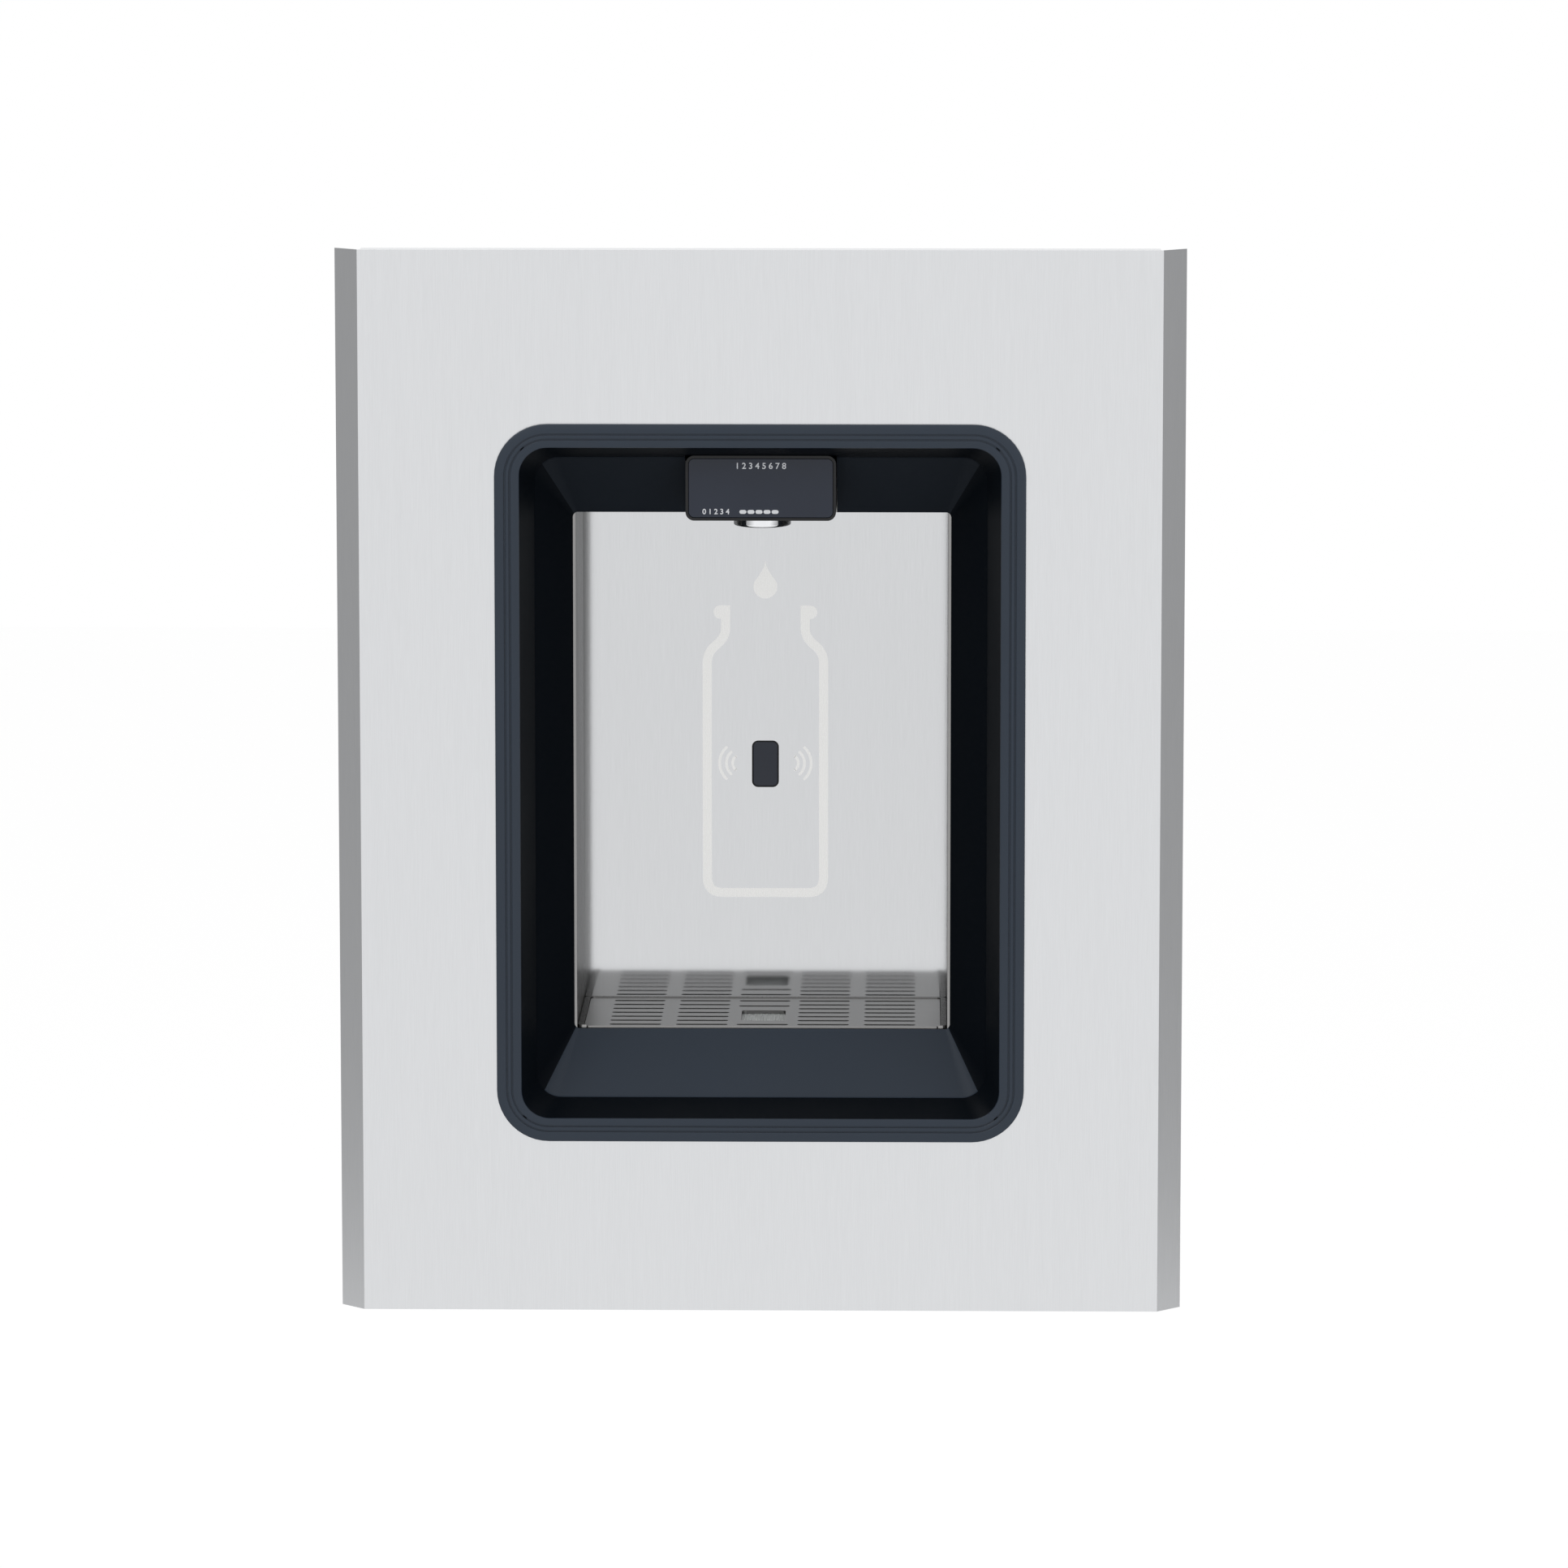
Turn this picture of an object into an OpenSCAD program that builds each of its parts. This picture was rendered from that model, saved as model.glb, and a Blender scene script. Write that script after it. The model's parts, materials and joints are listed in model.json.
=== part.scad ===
// Recessed bottle filling station: face plate, bezel and niche on a wall box that fits between two studs.
// Millimetres, +Z up, front towards -Y. The origin is the centre of the face plate, on the wall's plane.

/* [Face plate] */
// Width of the flat front of the face plate
plate_w = 457; // [450:1:520]
// Height of the face plate
plate_h = 611.5; // [600:0.5:680]
// Distance from the wall to the front of the face plate
plate_depth = 14; // [13:0.5:18]
// Sheet thickness of the face plate
plate_t = 1.2; // [0.9:0.1:1.6]
// Width of each slanted side flange, seen from the front
side_bevel = 13.6; // [10:0.2:20]

/* [Bezel] */
// Width of the bezel flange
bezel_w = 302.5; // [298:0.5:320]
// Height of the bezel flange
bezel_h = 413.5; // [408:0.5:430]
// Outer corner radius of the bezel flange
bezel_r = 30; // [20:1:36]
// Height of the bezel flange above the face plate
bezel_flange_t = 2.2; // [1.8:0.1:3.5]
// Width of the opening at the front lip of the bezel
lip_w = 274; // [268:0.5:276]
// Height of the opening at the front lip of the bezel
lip_h = 386.5; // [382:0.5:388]
// Corner radius of the front lip
lip_r = 16; // [12:1:20]
// Wall thickness of the moulded throat
throat_t = 2.2; // [1.6:0.1:2.6]

/* [Niche] */
// Height of the niche opening
niche_h = 301.5; // [290:0.5:306]
// Inside width of the steel niche
niche_w = 215; // [205:0.5:216]
// Depth of the niche opening behind the front of the plate
mouth_depth = 57; // [54:0.5:62]
// Depth of the back wall behind the front of the plate
back_depth = 159; // [155:0.5:165]
// Sheet thickness of the niche
sheet_t = 1; // [0.8:0.1:1.4]

/* [Wall box] */
// Outside width of the wall box, which fits between studs
box_w = 368; // [364:1:390]
// Outside height of the wall box
box_h = 560; // [550:1:570]
// Depth of the wall box behind the wall
box_d = 172; // [168:1:190]
// Sheet thickness of the wall box
box_t = 1.5; // [1.2:0.1:2]
// Distance between the two columns of wall holes
wall_hole_x = 393; // [390:1:396]
// Distance between the two rows of wall holes
wall_hole_z = 400; // [300:5:480]
// Radius of a wall hole
wall_hole_r = 3.25; // [2.5:0.05:4]

/* [Drip grille] */
// Length of a slot
slot_w = 30; // [24:0.5:32]
// Width of a slot
slot_h = 4.5; // [3.5:0.1:6]
// Rows of slots
slot_rows = 7; // [5:1:7]
// Distance between two rows
row_pitch = 13.95; // [11:0.05:14]
// Side of the mesh window in the middle of the grille
window_w = 25.7; // [18:0.1:28]
// Length of the mesh window from front to back
window_l = 36; // [24:1:38]

/* [Display and nozzle] */
// Width of the display housing
display_w = 86; // [80:0.5:110]
// Height of the display housing
display_h = 37.3; // [34:0.1:37.5]
// Corner radius of the display housing
display_r = 5; // [4:0.5:9]
// Depth of the front of the display behind the front of the plate
display_depth = 20; // [18:0.5:24]
// Outer radius of the nozzle ring
ring_r = 16.85; // [15.5:0.05:19]
// Depth of the nozzle axis behind the front of the plate
nozzle_depth = 70; // [70:0.5:76]

/* [Sensor] */
// Width of the sensor window
sensor_w = 15.7; // [12:0.1:20]
// Height of the sensor window
sensor_h = 27.6; // [22:0.1:32]
// Height of the middle of the sensor window
sensor_z = -9.3; // [-40:0.1:40]

/* [Plumbing] */
// Outer radius of the water tubes
tube_r = 4.7625; // [4.5:0.0125:5]
// Wall of the water tubes
tube_t = 1; // [0.8:0.1:1.4]
// Outer radius of the drain tailpiece
drain_r = 15.875; // [15:0.025:16.2]
// Outer radius of the filter cartridge
filter_r = 30; // [26:0.5:30]
// Length of the filter cartridge below its neck
filter_l = 220; // [160:5:225]
// Travel of the solenoid core
core_travel = 3; // [2:0.1:4]
// Bore radius of the cable gland
gland_bore_r = 4.5; // [3:0.1:5.5]

/* [Hidden] */
$fn = 64;
hull_fn = 32;
over = 2; // overrun of every cut
fit = 0.3; // gap between pieces that move or slip into each other
snug = 0.1; // gap between fixed pieces that slip into each other
seam = 0.05; // gap along a weld

// Planes of the whole part
plate_y = -plate_depth; // front of the face plate
plate_back_y = plate_y + plate_t;
mouth_y = mouth_depth - plate_depth; // where the bezel ends and the steel niche starts
back_y = back_depth - plate_depth; // front of the back wall
box_y = box_d - box_t; // inner face of the back of the wall box
ceil_z = niche_h / 2; // underside of the ceiling
nozzle_y = nozzle_depth - plate_depth;
display_y = display_depth - plate_depth;
inner_x = box_w / 2 - box_t; // inner face of the sides of the wall box
inner_z = box_h / 2 - box_t; // inner face of its floor and top

// Face plate
bend_share = 0.414; // tangent of half of 45 degrees, which sets the inner corner of the bend
slant_share = 1.414; // thickness of a 45 degree flange measured across
relief = 1.5; // gap between the side and end flanges
cut_margin = 6.5; // how far the cut-out stays behind the edge of the bezel, both sides together
cut_w = bezel_w - cut_margin;
cut_h = bezel_h - cut_margin;
cut_r = bezel_r - cut_margin / 2;
plate_screw_x = 180; // distance of each lower screw from the middle
plate_screw_r = 2;
plate_screw_head_r = 3;
plate_screw_head_h = 0.7;
plate_screw_y = -5.5; // far enough back for the plate's edge to hide the heads

// Bezel
lip_edge = 1.4; // plain edge outside the outer ring
groove_w = 0.9;
groove_deep = 0.8;
outer_band = 4;
middle_band = 2;
steep_inset = 7.5; // how far the steep wall leans in
steep_run = 25; // how deep it runs
steep_w = lip_w - 2 * steep_inset;
steep_h = lip_h - 2 * steep_inset;
steep_y = plate_y + steep_run;
mouth_margin = 3; // how much wider the bezel's rear opening is than the steel niche
steep_r = 14;
mouth_r = 3;
post_r = 3.2;
post_hole_r = 1.4;
post_side_z = 62; // screw rows on the sides, above and below the middle
post_side_far_z = 152;
post_end_x = 70; // screw columns at the top and bottom
post_x = lip_w / 2 + throat_t + fit + post_r;
post_z = lip_h / 2 + throat_t + fit + post_r;
post_places = [
    for (s = [-1, 1], z = [-post_side_far_z, -post_side_z, post_side_z, post_side_far_z]) [s * post_x, z],
    for (s = [-1, 1], x = [-post_end_x, post_end_x]) [x, s * post_z]
];
skin_t = 0.01; // thickness of the slices that the throat is blended between
retainer_t = 1.5;
retainer_out = 8; // how far the retainer reaches past the edge of the cut-out
m3_r = 1.2;
m3_head_r = 2.8;
m3_head_h = 2;

// Niche
flange_w = 8; // outward flanges of the niche
liner_x = niche_w / 2; // inner face of the side walls
liner_out_x = liner_x + sheet_t;
head_flange_h = 30; // upward flange above the mouth, which carries the display
liner_drop = 34; // how far the side walls run below the grille
shelf_in = 4; // inward shelf under the basin rim
panel_margin = 7; // how far the back wall overlaps the rear flange
rivet_r = 1.6;
rivet_head_r = 3;
rivet_head_h = 1;
rivet_rows = 4;

// Drip grille and basin
grille_rise = 1.25; // top of the grille above the bottom of the opening
grille_z = -niche_h / 2 + grille_rise;
grille_t = 2;
grille_under_z = grille_z - grille_t;
grille_w = 207;
grille_r = 3;
grille_front_gap = 1.3; // from the mouth to the grille
grille_rear_gap = 1.2; // from the grille to the back wall
grille_y0 = mouth_y + grille_front_gap;
grille_y1 = back_y - grille_rear_gap;
first_row_depth = 64;
first_row_y = first_row_depth - plate_depth;
group_near_x = 35.3; // middle of the inner slot groups
group_far_x = 74; // middle of the outer slot groups
window_depth = 96; // depth of the middle of the mesh window
lone_slot_depth = 129.2; // depth of the slot behind the window
window_r = 3;
basin_gap = 0.3;
basin_x = liner_x - basin_gap;
basin_y0 = mouth_y + sheet_t + basin_gap;
basin_y1 = back_y - basin_gap;
rim_rise = 0.6; // rounded rim above the grille
rim_z = grille_z + rim_rise;
rim_deep = 5; // height of the thick rim under the grille
rim_base_z = grille_under_z - rim_deep + fit;
basin_t = 1.5;
basin_bowl_in = 4.2; // how far the bowl stands in from the outside of the rim
basin_bowl_r = 12;
basin_floor_z = grille_z - liner_drop;
screen_t = 1;
screen_border = 4;
wire_w = 1.1;
screen_cols = 24;
screen_rows = 12;
screen_in = basin_bowl_in + basin_t + fit; // edge of the screen, in from the outside of the rim
screen_w = 2 * (basin_x - screen_in);
screen_y0 = basin_y0 + screen_in;
screen_y1 = basin_y1 - screen_in;

// Drain
drain_y = (basin_y0 + basin_y1) / 2;
drain_body_r = drain_r + 3.2;
drain_bore_r = drain_r + fit;
strainer_r = 31;
strainer_t = 2;
strainer_bar_w = 3;
strainer_l = 44; // length of the threaded body below the floor of the basin
strainer_end_z = basin_floor_z + basin_t - strainer_l;
gasket_t = 3;
nut_t = 10;
nut_flats = 52;
slip_nut_h = 18;
slip_nut_low = 6; // how far the slip nut hangs below the drain body
tail_up = 26; // how far the tailpiece reaches up into the drain body
outlet_drop = 38; // how far the tailpiece and the stub hang below the box
tail_end_z = -(box_h / 2 + outlet_drop);
tail_wall = 1.2;
tail_bead = 1.2; // height of the bead on the tailpiece
tail_free = 34; // plain length below the bead

// Display head
head_gap = 1.15; // underside of the display below the ceiling
display_z0 = ceil_z - head_gap;
display_z1 = display_z0 + display_h;
display_zc = (display_z0 + display_z1) / 2;
display_wall = 1.6;
display_lead_back = 12; // distance of the display's lead from the mouth
lens_t = 1.6;
lens_deep = 0.4; // the lens lies this far behind the rim
lens_gap = 0.15;
lens_ledge = 2; // ledge inside the housing that the lens rests on
board_t = 1.6;
board_deep = 12; // front of the display board behind the front of the housing
board_y = display_y + board_deep;
digit_w = 34;
digit_h = 14;
led_r = 1.5;
led_count = 4;
led_pitch = 9;
led_x0 = -36; // first light
led_z = -10; // row of lights below the middle
digit_x = -24;

// Nozzle
neck_r = 11.3;
neck_bore_r = 9.4;
neck_drop = 6.5; // how far the neck reaches below the ceiling
ring_bore_r = neck_r + snug;
ring_h = 7.7;
ring_top_z = display_z0 - snug;
ring_round = 5; // radius of the rounded lower edge
body_w = 44;
body_l = 34;
body_h = 38;
body_z0 = ceil_z + sheet_t;
body_z1 = body_z0 + body_h;
port_r = 8;
port_h = 9;
socket_r = tube_r + snug; // sockets that take the tube ends
socket_l = 7;
straightener_t = 4;
straightener_hole_r = 1;
straightener_pitch = 2.4; // distance between two rings of holes

// Sensor
sensor_case_w = 44;
sensor_case_h = 54;
sensor_case_d = 17;
sensor_wall = 2;
sensor_lens_t = 3;
sensor_r = 3.7;
sensor_y0 = back_y - snug; // front of the window
sensor_screw_share = 0.38; // place of the screws, as a share of the case
sensor_board_deep = 6; // front of the sensor board behind the front of the case
sensor_board_grow = 6; // how much larger the board is than the window
sensor_case_y0 = back_y + sheet_t;
sensor_case_y1 = sensor_case_y0 + sensor_case_d;
sensor_screw_places = [for (sx = [-1, 1], sz = [-1, 1])
    [sx * sensor_case_w * sensor_screw_share, sensor_z + sz * sensor_case_h * sensor_screw_share]];

// Water line in the left bay
bay_x = -(inner_x + liner_out_x + flange_w) / 2;
supply_y = 130; // depth of the vertical supply tube
tube_bend = 25;
port_bore_r = tube_r - tube_t;
stub_end_z = -(box_h / 2 + outlet_drop);
stub_free = 30;
collar_r = 11;
collar_h = 6;
nut_small_r = 12;
nut_small_h = 6;
valve_r = 11;
valve_z0 = -inner_z + collar_h + nut_small_h;
valve_l = 44;
valve_z1 = valve_z0 + valve_l;
valve_zc = (valve_z0 + valve_z1) / 2;
ball_r = 7.5;
stem_r = 4;
boss_r = 7;
boss_l = 16; // from the valve axis to the end of the boss
lever_l = 45;
lever_w = 10;
lever_t = 4;
hub_r = 9;

head_r = 31;
head_z0 = 75; // underside of the filter head
head_h = 37;
head_z1 = head_z0 + head_h;
head_port_up = 27; // inlet port above the underside of the head
head_port_z = head_z0 + head_port_up;
gallery_r = 2.5;
gallery_y = 15; // distance of the inlet gallery from the axis of the head
neck_share = 0.667; // neck radius as a share of the cartridge radius
cart_neck_r = filter_r * neck_share;
cart_neck_h = 20;
cart_top_z = head_z0 - fit;
cart_dome = 12;
lug_out = 3;
lug_h = 4;
ledge_h = 5; // ledge of the head under the lugs
lug_angle = 26;
slot_angle = 34;
twist = 60; // angle from locked to the slots
seal_r = 1;
seal_groove = 2;
seal_z = cart_top_z + cart_neck_h - 2 * seal_groove;
bracket_t = 2;
bracket_drop = 42;
reg_z0 = 155;
reg_h = 36;
reg_z1 = reg_z0 + reg_h;
reg_zc = (reg_z0 + reg_z1) / 2;
reg_r = 11;
reg_boss_l = 20;
knob_r = 11;
knob_h = 9;
knob_flutes = 12;
flute_r = 1.2;
knob_stem_l = 12;
mark_share = 0.8; // length of the mark on the knob, as a share of its radius

line_z = 222; // height of the horizontal water line
sol_x = -83;
sol_w = 50;
sol_l = 30;
sol_h = 28;
seat_rise = 5; // valve seat floor above the line
seat_lip = 1;
orifice_r = 2.5;
seat_r = 4;
chamber_r = 8.3;
pilot_r = 1.8;
pilot_x = 6;
core_r = 6.8;
core_l = 24;
seal_t = 2;
seal_lap = 1.5; // how far the rubber disc reaches past the seat
guide_r = 9;
guide_in_r = core_r + fit;
guide_cap = 1.5;
coil_w = 34;
coil_h = 31;
coil_corner_r = 3;
spring_r = 6;
spring_t = 1;
spring_closed = 13.4; // length of the spring when the core is lifted
sol_z0 = line_z - sol_h / 2;
sol_z1 = line_z + sol_h / 2;
seat_z = line_z + seat_rise;
seal_z0 = seat_z + seat_lip + snug;
core_z0 = seal_z0 + seal_t;
core_z1 = core_z0 + core_l;
guide_top_z = core_z1 + core_travel + spring_closed;
guide_h = guide_top_z + guide_cap - sol_z1; // guide tube above the valve body
nozzle_bend = 22;

// Electrical boxes
ctrl_x0 = 60;
ctrl_w = 110;
ctrl_z0 = 195;
ctrl_h = 75;
ctrl_y0 = 60;
ctrl_wall = 2;
ctrl_lid_t = 2;
ctrl_lid_gap = 0.2;
ctrl_board_in = 6; // edge of the controller's board, in from the outside of its box
ctrl_x1 = ctrl_x0 + ctrl_w;
ctrl_z1 = ctrl_z0 + ctrl_h;
psu_w = 62;
psu_z0 = -100;
psu_h = 160;
psu_y0 = 40;
psu_l = 80;
psu_fins = 8;
fin_deep = 2;
fin_end = 6; // from the end of a fin groove to the edge of the supply
gland_x = -bay_x;
gland_y = 80;
gland_r = 11;
gland_body_r = 8;
gland_nut_h = 6;
gland_l = 26;
mains_r = 3.5;
lead_r = 2.4;
lead_bend = 10;
coil_lead_y = 110;
display_lead_x = 30;
display_lead_z = 235;
ctrl_lead_x = 85;
sensor_lead_x = 160;
coil_lead_z = sol_z1 + coil_h / 2;
sensor_lead_y = (sensor_case_y0 + sensor_case_y1) / 2 + sensor_wall;

// Rails, hooks and straps
lip_deep = 20; // inward lips of the wall box at the top and bottom
ear_w = 25;
rail_w = 300;
rail_t = 1.5;
rail_z0 = box_h / 2 - lip_deep;
rail_step = 8;
rail_step_z = rail_z0 + rail_step;
tongue_out = 4.5; // how far the upright tongue stands off the box
tongue_y1 = -box_t - tongue_out;
tongue_h = 18;
tongue_z1 = rail_step_z + tongue_h;
hook_w = 40;
hook_x = 100;
hook_drop = 12; // how far the hook reaches down behind the tongue
hook_z0 = tongue_z1 - hook_drop;
hook_up = 12;
bracket_w = 30;
bracket_foot_y0 = plate_back_y + fit;
bracket_foot_z = -plate_h / 2 + plate_t;
strap_t = 1.5;
strap_h = 20;
strap_tab = 20;
strap_low_z = -182;
strap_high_z = 126;
strap_screw_r = 2;
strap_head_r = 3.6;
strap_head_h = 2;

// Rivets down both rear flanges, and screws that hold the straps to the front flange
rivet_x = liner_out_x + flange_w / 2;
rivet_low = 24; // lowest rivet above the end of the side walls
rivet_z0 = basin_floor_z + rivet_low;
rivet_pitch = (ceil_z - flange_w - rivet_z0) / (rivet_rows - 1);
rivet_places = [for (s = [-1, 1], i = [0 : rivet_rows - 1]) [s * rivet_x, rivet_z0 + i * rivet_pitch]];
strap_x = liner_out_x + flange_w / 2;
strap_places = [for (s = [-1, 1], z = [strap_low_z, strap_high_z]) [s * strap_x, z + strap_h / 2]];

// Colours
steel_c = "#d9dce0";
dark_steel_c = "#8f959b";
galv_c = "#b9bdc1";
slate_c = "#363f4b";
black_c = "#1b1d21";
rubber_c = "#26262a";
chrome_c = "#e8ebee";
brass_c = "#c9a24b";
blue_c = "#2f6fb0";
white_c = "#eef0f2";
board_c = "#2c6b46";

function unit(v) = v / norm(v);

// Flat outline with round corners
module rounded(w, h, r) {
    square([w - 2 * r, h], center = true);
    square([w, h - 2 * r], center = true);
    for (sx = [-1, 1], sy = [-1, 1]) translate([sx * (w / 2 - r), sy * (h / 2 - r)]) circle(r);
}

// Extrusions of a flat outline between two planes
module slab_x(x0, x1) { translate([x0, 0, 0]) rotate([90, 0, 90]) linear_extrude(x1 - x0) children(); }
module slab_y(y0, y1) { translate([0, y1, 0]) rotate([90, 0, 0]) linear_extrude(y1 - y0) children(); }
module slab_z(z0, z1) { translate([0, 0, z0]) linear_extrude(z1 - z0) children(); }

// A block between two corners
module span(a, b) { translate(a) cube(b - a); }

// Round bars that start at a point
module rod_x(p, l, r) { translate(p) rotate([0, 90, 0]) cylinder(h = l, r = r); }
module rod_y(p, l, r) { translate(p) rotate([-90, 0, 0]) cylinder(h = l, r = r); }
module rod_z(p, l, r) { translate(p) cylinder(h = l, r = r); }

// A round bar between two points of an upright or level run
module bar(a, b, r) {
    u = unit(b - a);
    s = abs(u.z) > 0.5 ? [1, 0, 0] : [0, 0, 1];
    w = cross(u, s);
    multmatrix([
        [s.x, w.x, u.x, a.x],
        [s.y, w.y, u.y, a.y],
        [s.z, w.z, u.z, a.z]
    ]) cylinder(h = norm(b - a), r = r);
}

// A quarter bend round a corner, from direction u to direction v
module elbow(corner, u, v, bend, r) {
    c = corner - u * bend + v * bend;
    m = cross(u, v);
    multmatrix([
        [-v.x, u.x, m.x, c.x],
        [-v.y, u.y, m.y, c.y],
        [-v.z, u.z, m.z, c.z]
    ]) rotate_extrude(angle = 90) translate([bend, 0]) circle(r);
}

// A bar along square corners, whose ends run on by extra
module run(pts, bend, r, extra = 0) {
    last = len(pts) - 1;
    for (i = [0 : last - 1]) {
        u = unit(pts[i + 1] - pts[i]);
        bar(pts[i] + u * (i > 0 ? bend : -extra), pts[i + 1] - u * (i < last - 1 ? bend : -extra), r);
    }
    for (i = [1 : 1 : last - 1])
        elbow(pts[i], unit(pts[i] - pts[i - 1]), unit(pts[i + 1] - pts[i]), bend, r);
}

module water_tube(pts, bend) {
    difference() {
        run(pts, bend, tube_r);
        run(pts, bend, tube_r - tube_t, over);
    }
}

// A screw that points along +Z with its head below zero
module screw(r, l, head_r, head_h) {
    difference() {
        union() {
            translate([0, 0, -head_h / 2]) cylinder(h = l + head_h / 2, r = r);
            translate([0, 0, -head_h]) cylinder(h = head_h, r = head_r);
        }
        translate([0, 0, -head_h - over]) cylinder(h = over + head_h / 2, r = head_r / 2, $fn = 6);
    }
}

// Flat sheets welded edge to edge: back, sides, top, ears and lips
module wall_box() color(galv_c) {
    span([-box_w / 2, box_y, -box_h / 2], [box_w / 2, box_d, box_h / 2]);
    for (s = [0, 1]) mirror([s, 0, 0]) {
        span([inner_x, -box_t, -inner_z + seam], [box_w / 2, box_y - seam, inner_z - seam]);
        difference() {
            span([box_w / 2 + seam, -box_t, -box_h / 2], [box_w / 2 + ear_w, 0, box_h / 2]);
            for (z = [-wall_hole_z / 2, wall_hole_z / 2])
                rod_y([wall_hole_x / 2, -box_t - over, z], box_t + 2 * over, wall_hole_r);
        }
    }
    span([-box_w / 2, seam, inner_z], [box_w / 2, box_y - seam, box_h / 2]);
    for (s = [0, 1]) mirror([0, 0, s])
        span([-inner_x + seam, -box_t, box_h / 2 - lip_deep], [inner_x - seam, 0, box_h / 2]);
}

module box_floor() color(galv_c) difference() {
    span([-box_w / 2, seam, -box_h / 2], [box_w / 2, box_y - seam, -inner_z]);
    rod_z([0, drain_y, -box_h / 2 - over], box_t + 2 * over, drain_r + tail_bead + over);
    rod_z([bay_x, supply_y, -box_h / 2 - over], box_t + 2 * over, tube_r + 2 * fit + over / 2);
    rod_z([gland_x, gland_y, -box_h / 2 - over], box_t + 2 * over, gland_body_r + snug);
}

// Z-shaped rail on the top lip, with an upright tongue for the hooks
module hanger_rail() color(galv_c) slab_x(-rail_w / 2, rail_w / 2) polygon([
    [-box_t, rail_z0],
    [-box_t, rail_step_z + rail_t],
    [tongue_y1, rail_step_z + rail_t],
    [tongue_y1, tongue_z1],
    [tongue_y1 - rail_t, tongue_z1],
    [tongue_y1 - rail_t, rail_step_z],
    [-box_t - rail_t, rail_step_z],
    [-box_t - rail_t, rail_z0]
]);

module plate_hooks() color(galv_c)
    for (s = [-1, 1]) translate([s * hook_x, 0, 0]) slab_x(-hook_w / 2, hook_w / 2) polygon([
        [plate_back_y, hook_z0],
        [plate_back_y, tongue_z1 + hook_up],
        [plate_back_y + rail_t, tongue_z1 + hook_up],
        [plate_back_y + rail_t, tongue_z1 + rail_t],
        [tongue_y1 + rail_t + fit, tongue_z1 + rail_t],
        [tongue_y1 + rail_t + fit, hook_z0],
        [tongue_y1 + fit, hook_z0],
        [tongue_y1 + fit, tongue_z1],
        [plate_back_y + rail_t, tongue_z1],
        [plate_back_y + rail_t, hook_z0]
    ]);

// L-shaped feet that the lower screws of the plate go into
module lower_bracket() color(galv_c)
    for (s = [-1, 1]) translate([s * plate_screw_x, 0, 0]) difference() {
        slab_x(-bracket_w / 2, bracket_w / 2) polygon([
            [-box_t, -box_h / 2 + lip_deep],
            [-box_t - rail_t, -box_h / 2 + lip_deep],
            [-box_t - rail_t, bracket_foot_z + rail_t],
            [bracket_foot_y0, bracket_foot_z + rail_t],
            [bracket_foot_y0, bracket_foot_z],
            [-box_t, bracket_foot_z]
        ]);
        rod_z([0, plate_screw_y, bracket_foot_z - over], rail_t + 2 * over, plate_screw_r + snug);
    }

module plate_screws() color(steel_c)
    for (s = [-1, 1]) translate([s * plate_screw_x, plate_screw_y, -plate_h / 2])
        screw(plate_screw_r, plate_t + rail_t + over, plate_screw_head_r, plate_screw_head_h);

module face_plate() color(steel_c) difference() {
    union() {
        slab_y(plate_y, plate_back_y) square([plate_w, plate_h], center = true);
        for (s = [0, 1]) mirror([s, 0, 0]) slab_z(-plate_h / 2, plate_h / 2) polygon([
            [plate_w / 2 - plate_t, plate_y],
            [plate_w / 2, plate_y],
            [plate_w / 2 + side_bevel, 0],
            [plate_w / 2 + side_bevel - plate_t * slant_share, 0],
            [plate_w / 2 - plate_t * bend_share, plate_back_y],
            [plate_w / 2 - plate_t, plate_back_y]
        ]);
        for (s = [0, 1]) mirror([0, 0, s])
            span(
                [-plate_w / 2 + relief, plate_y, plate_h / 2 - plate_t],
                [plate_w / 2 - relief, 0, plate_h / 2]);
    }
    slab_y(plate_y - over, plate_back_y + over) rounded(cut_w, cut_h, cut_r);
    for (s = [-1, 1])
        rod_z(
            [s * plate_screw_x, plate_screw_y, -plate_h / 2 - over],
            plate_t + 2 * over,
            plate_screw_r + snug);
}

// Thin rounded sheet that the throat is blended between
module throat_slice(w, h, r, y, t) { slab_y(y, y + t) rounded(w, h, r, $fn = hull_fn); }

module throat_blend(w0, h0, r0, y0, w1, h1, r1, y1, grow) {
    hull() {
        throat_slice(w0 + 2 * grow, h0 + 2 * grow, r0 + grow, y0, skin_t);
        throat_slice(w1 + 2 * grow, h1 + 2 * grow, r1 + grow, y1 - skin_t, skin_t);
    }
}

// Steep wall behind the lip, and the funnel from there to the niche
module steep_wall(grow, front, rear) {
    throat_blend(lip_w, lip_h, lip_r, plate_y - front, steep_w, steep_h, steep_r, steep_y + rear, grow);
}

module funnel(grow, rear) {
    mouth_w = niche_w + mouth_margin;
    throat_blend(steep_w, steep_h, steep_r, steep_y, mouth_w, niche_h, mouth_r, mouth_y + rear, grow);
}

module ring_groove(inset) {
    front = plate_y - bezel_flange_t;
    slab_y(front - over, front + groove_deep) difference() {
        rounded(bezel_w - 2 * inset, bezel_h - 2 * inset, bezel_r - inset);
        offset(delta = -groove_w) rounded(bezel_w - 2 * inset, bezel_h - 2 * inset, bezel_r - inset);
    }
}

module display_notch() {
    translate([0, 0, display_zc]) slab_y(display_y - fit, mouth_y + over)
        square([display_w + 2 * fit, display_h + 2 * fit], center = true);
}

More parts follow.
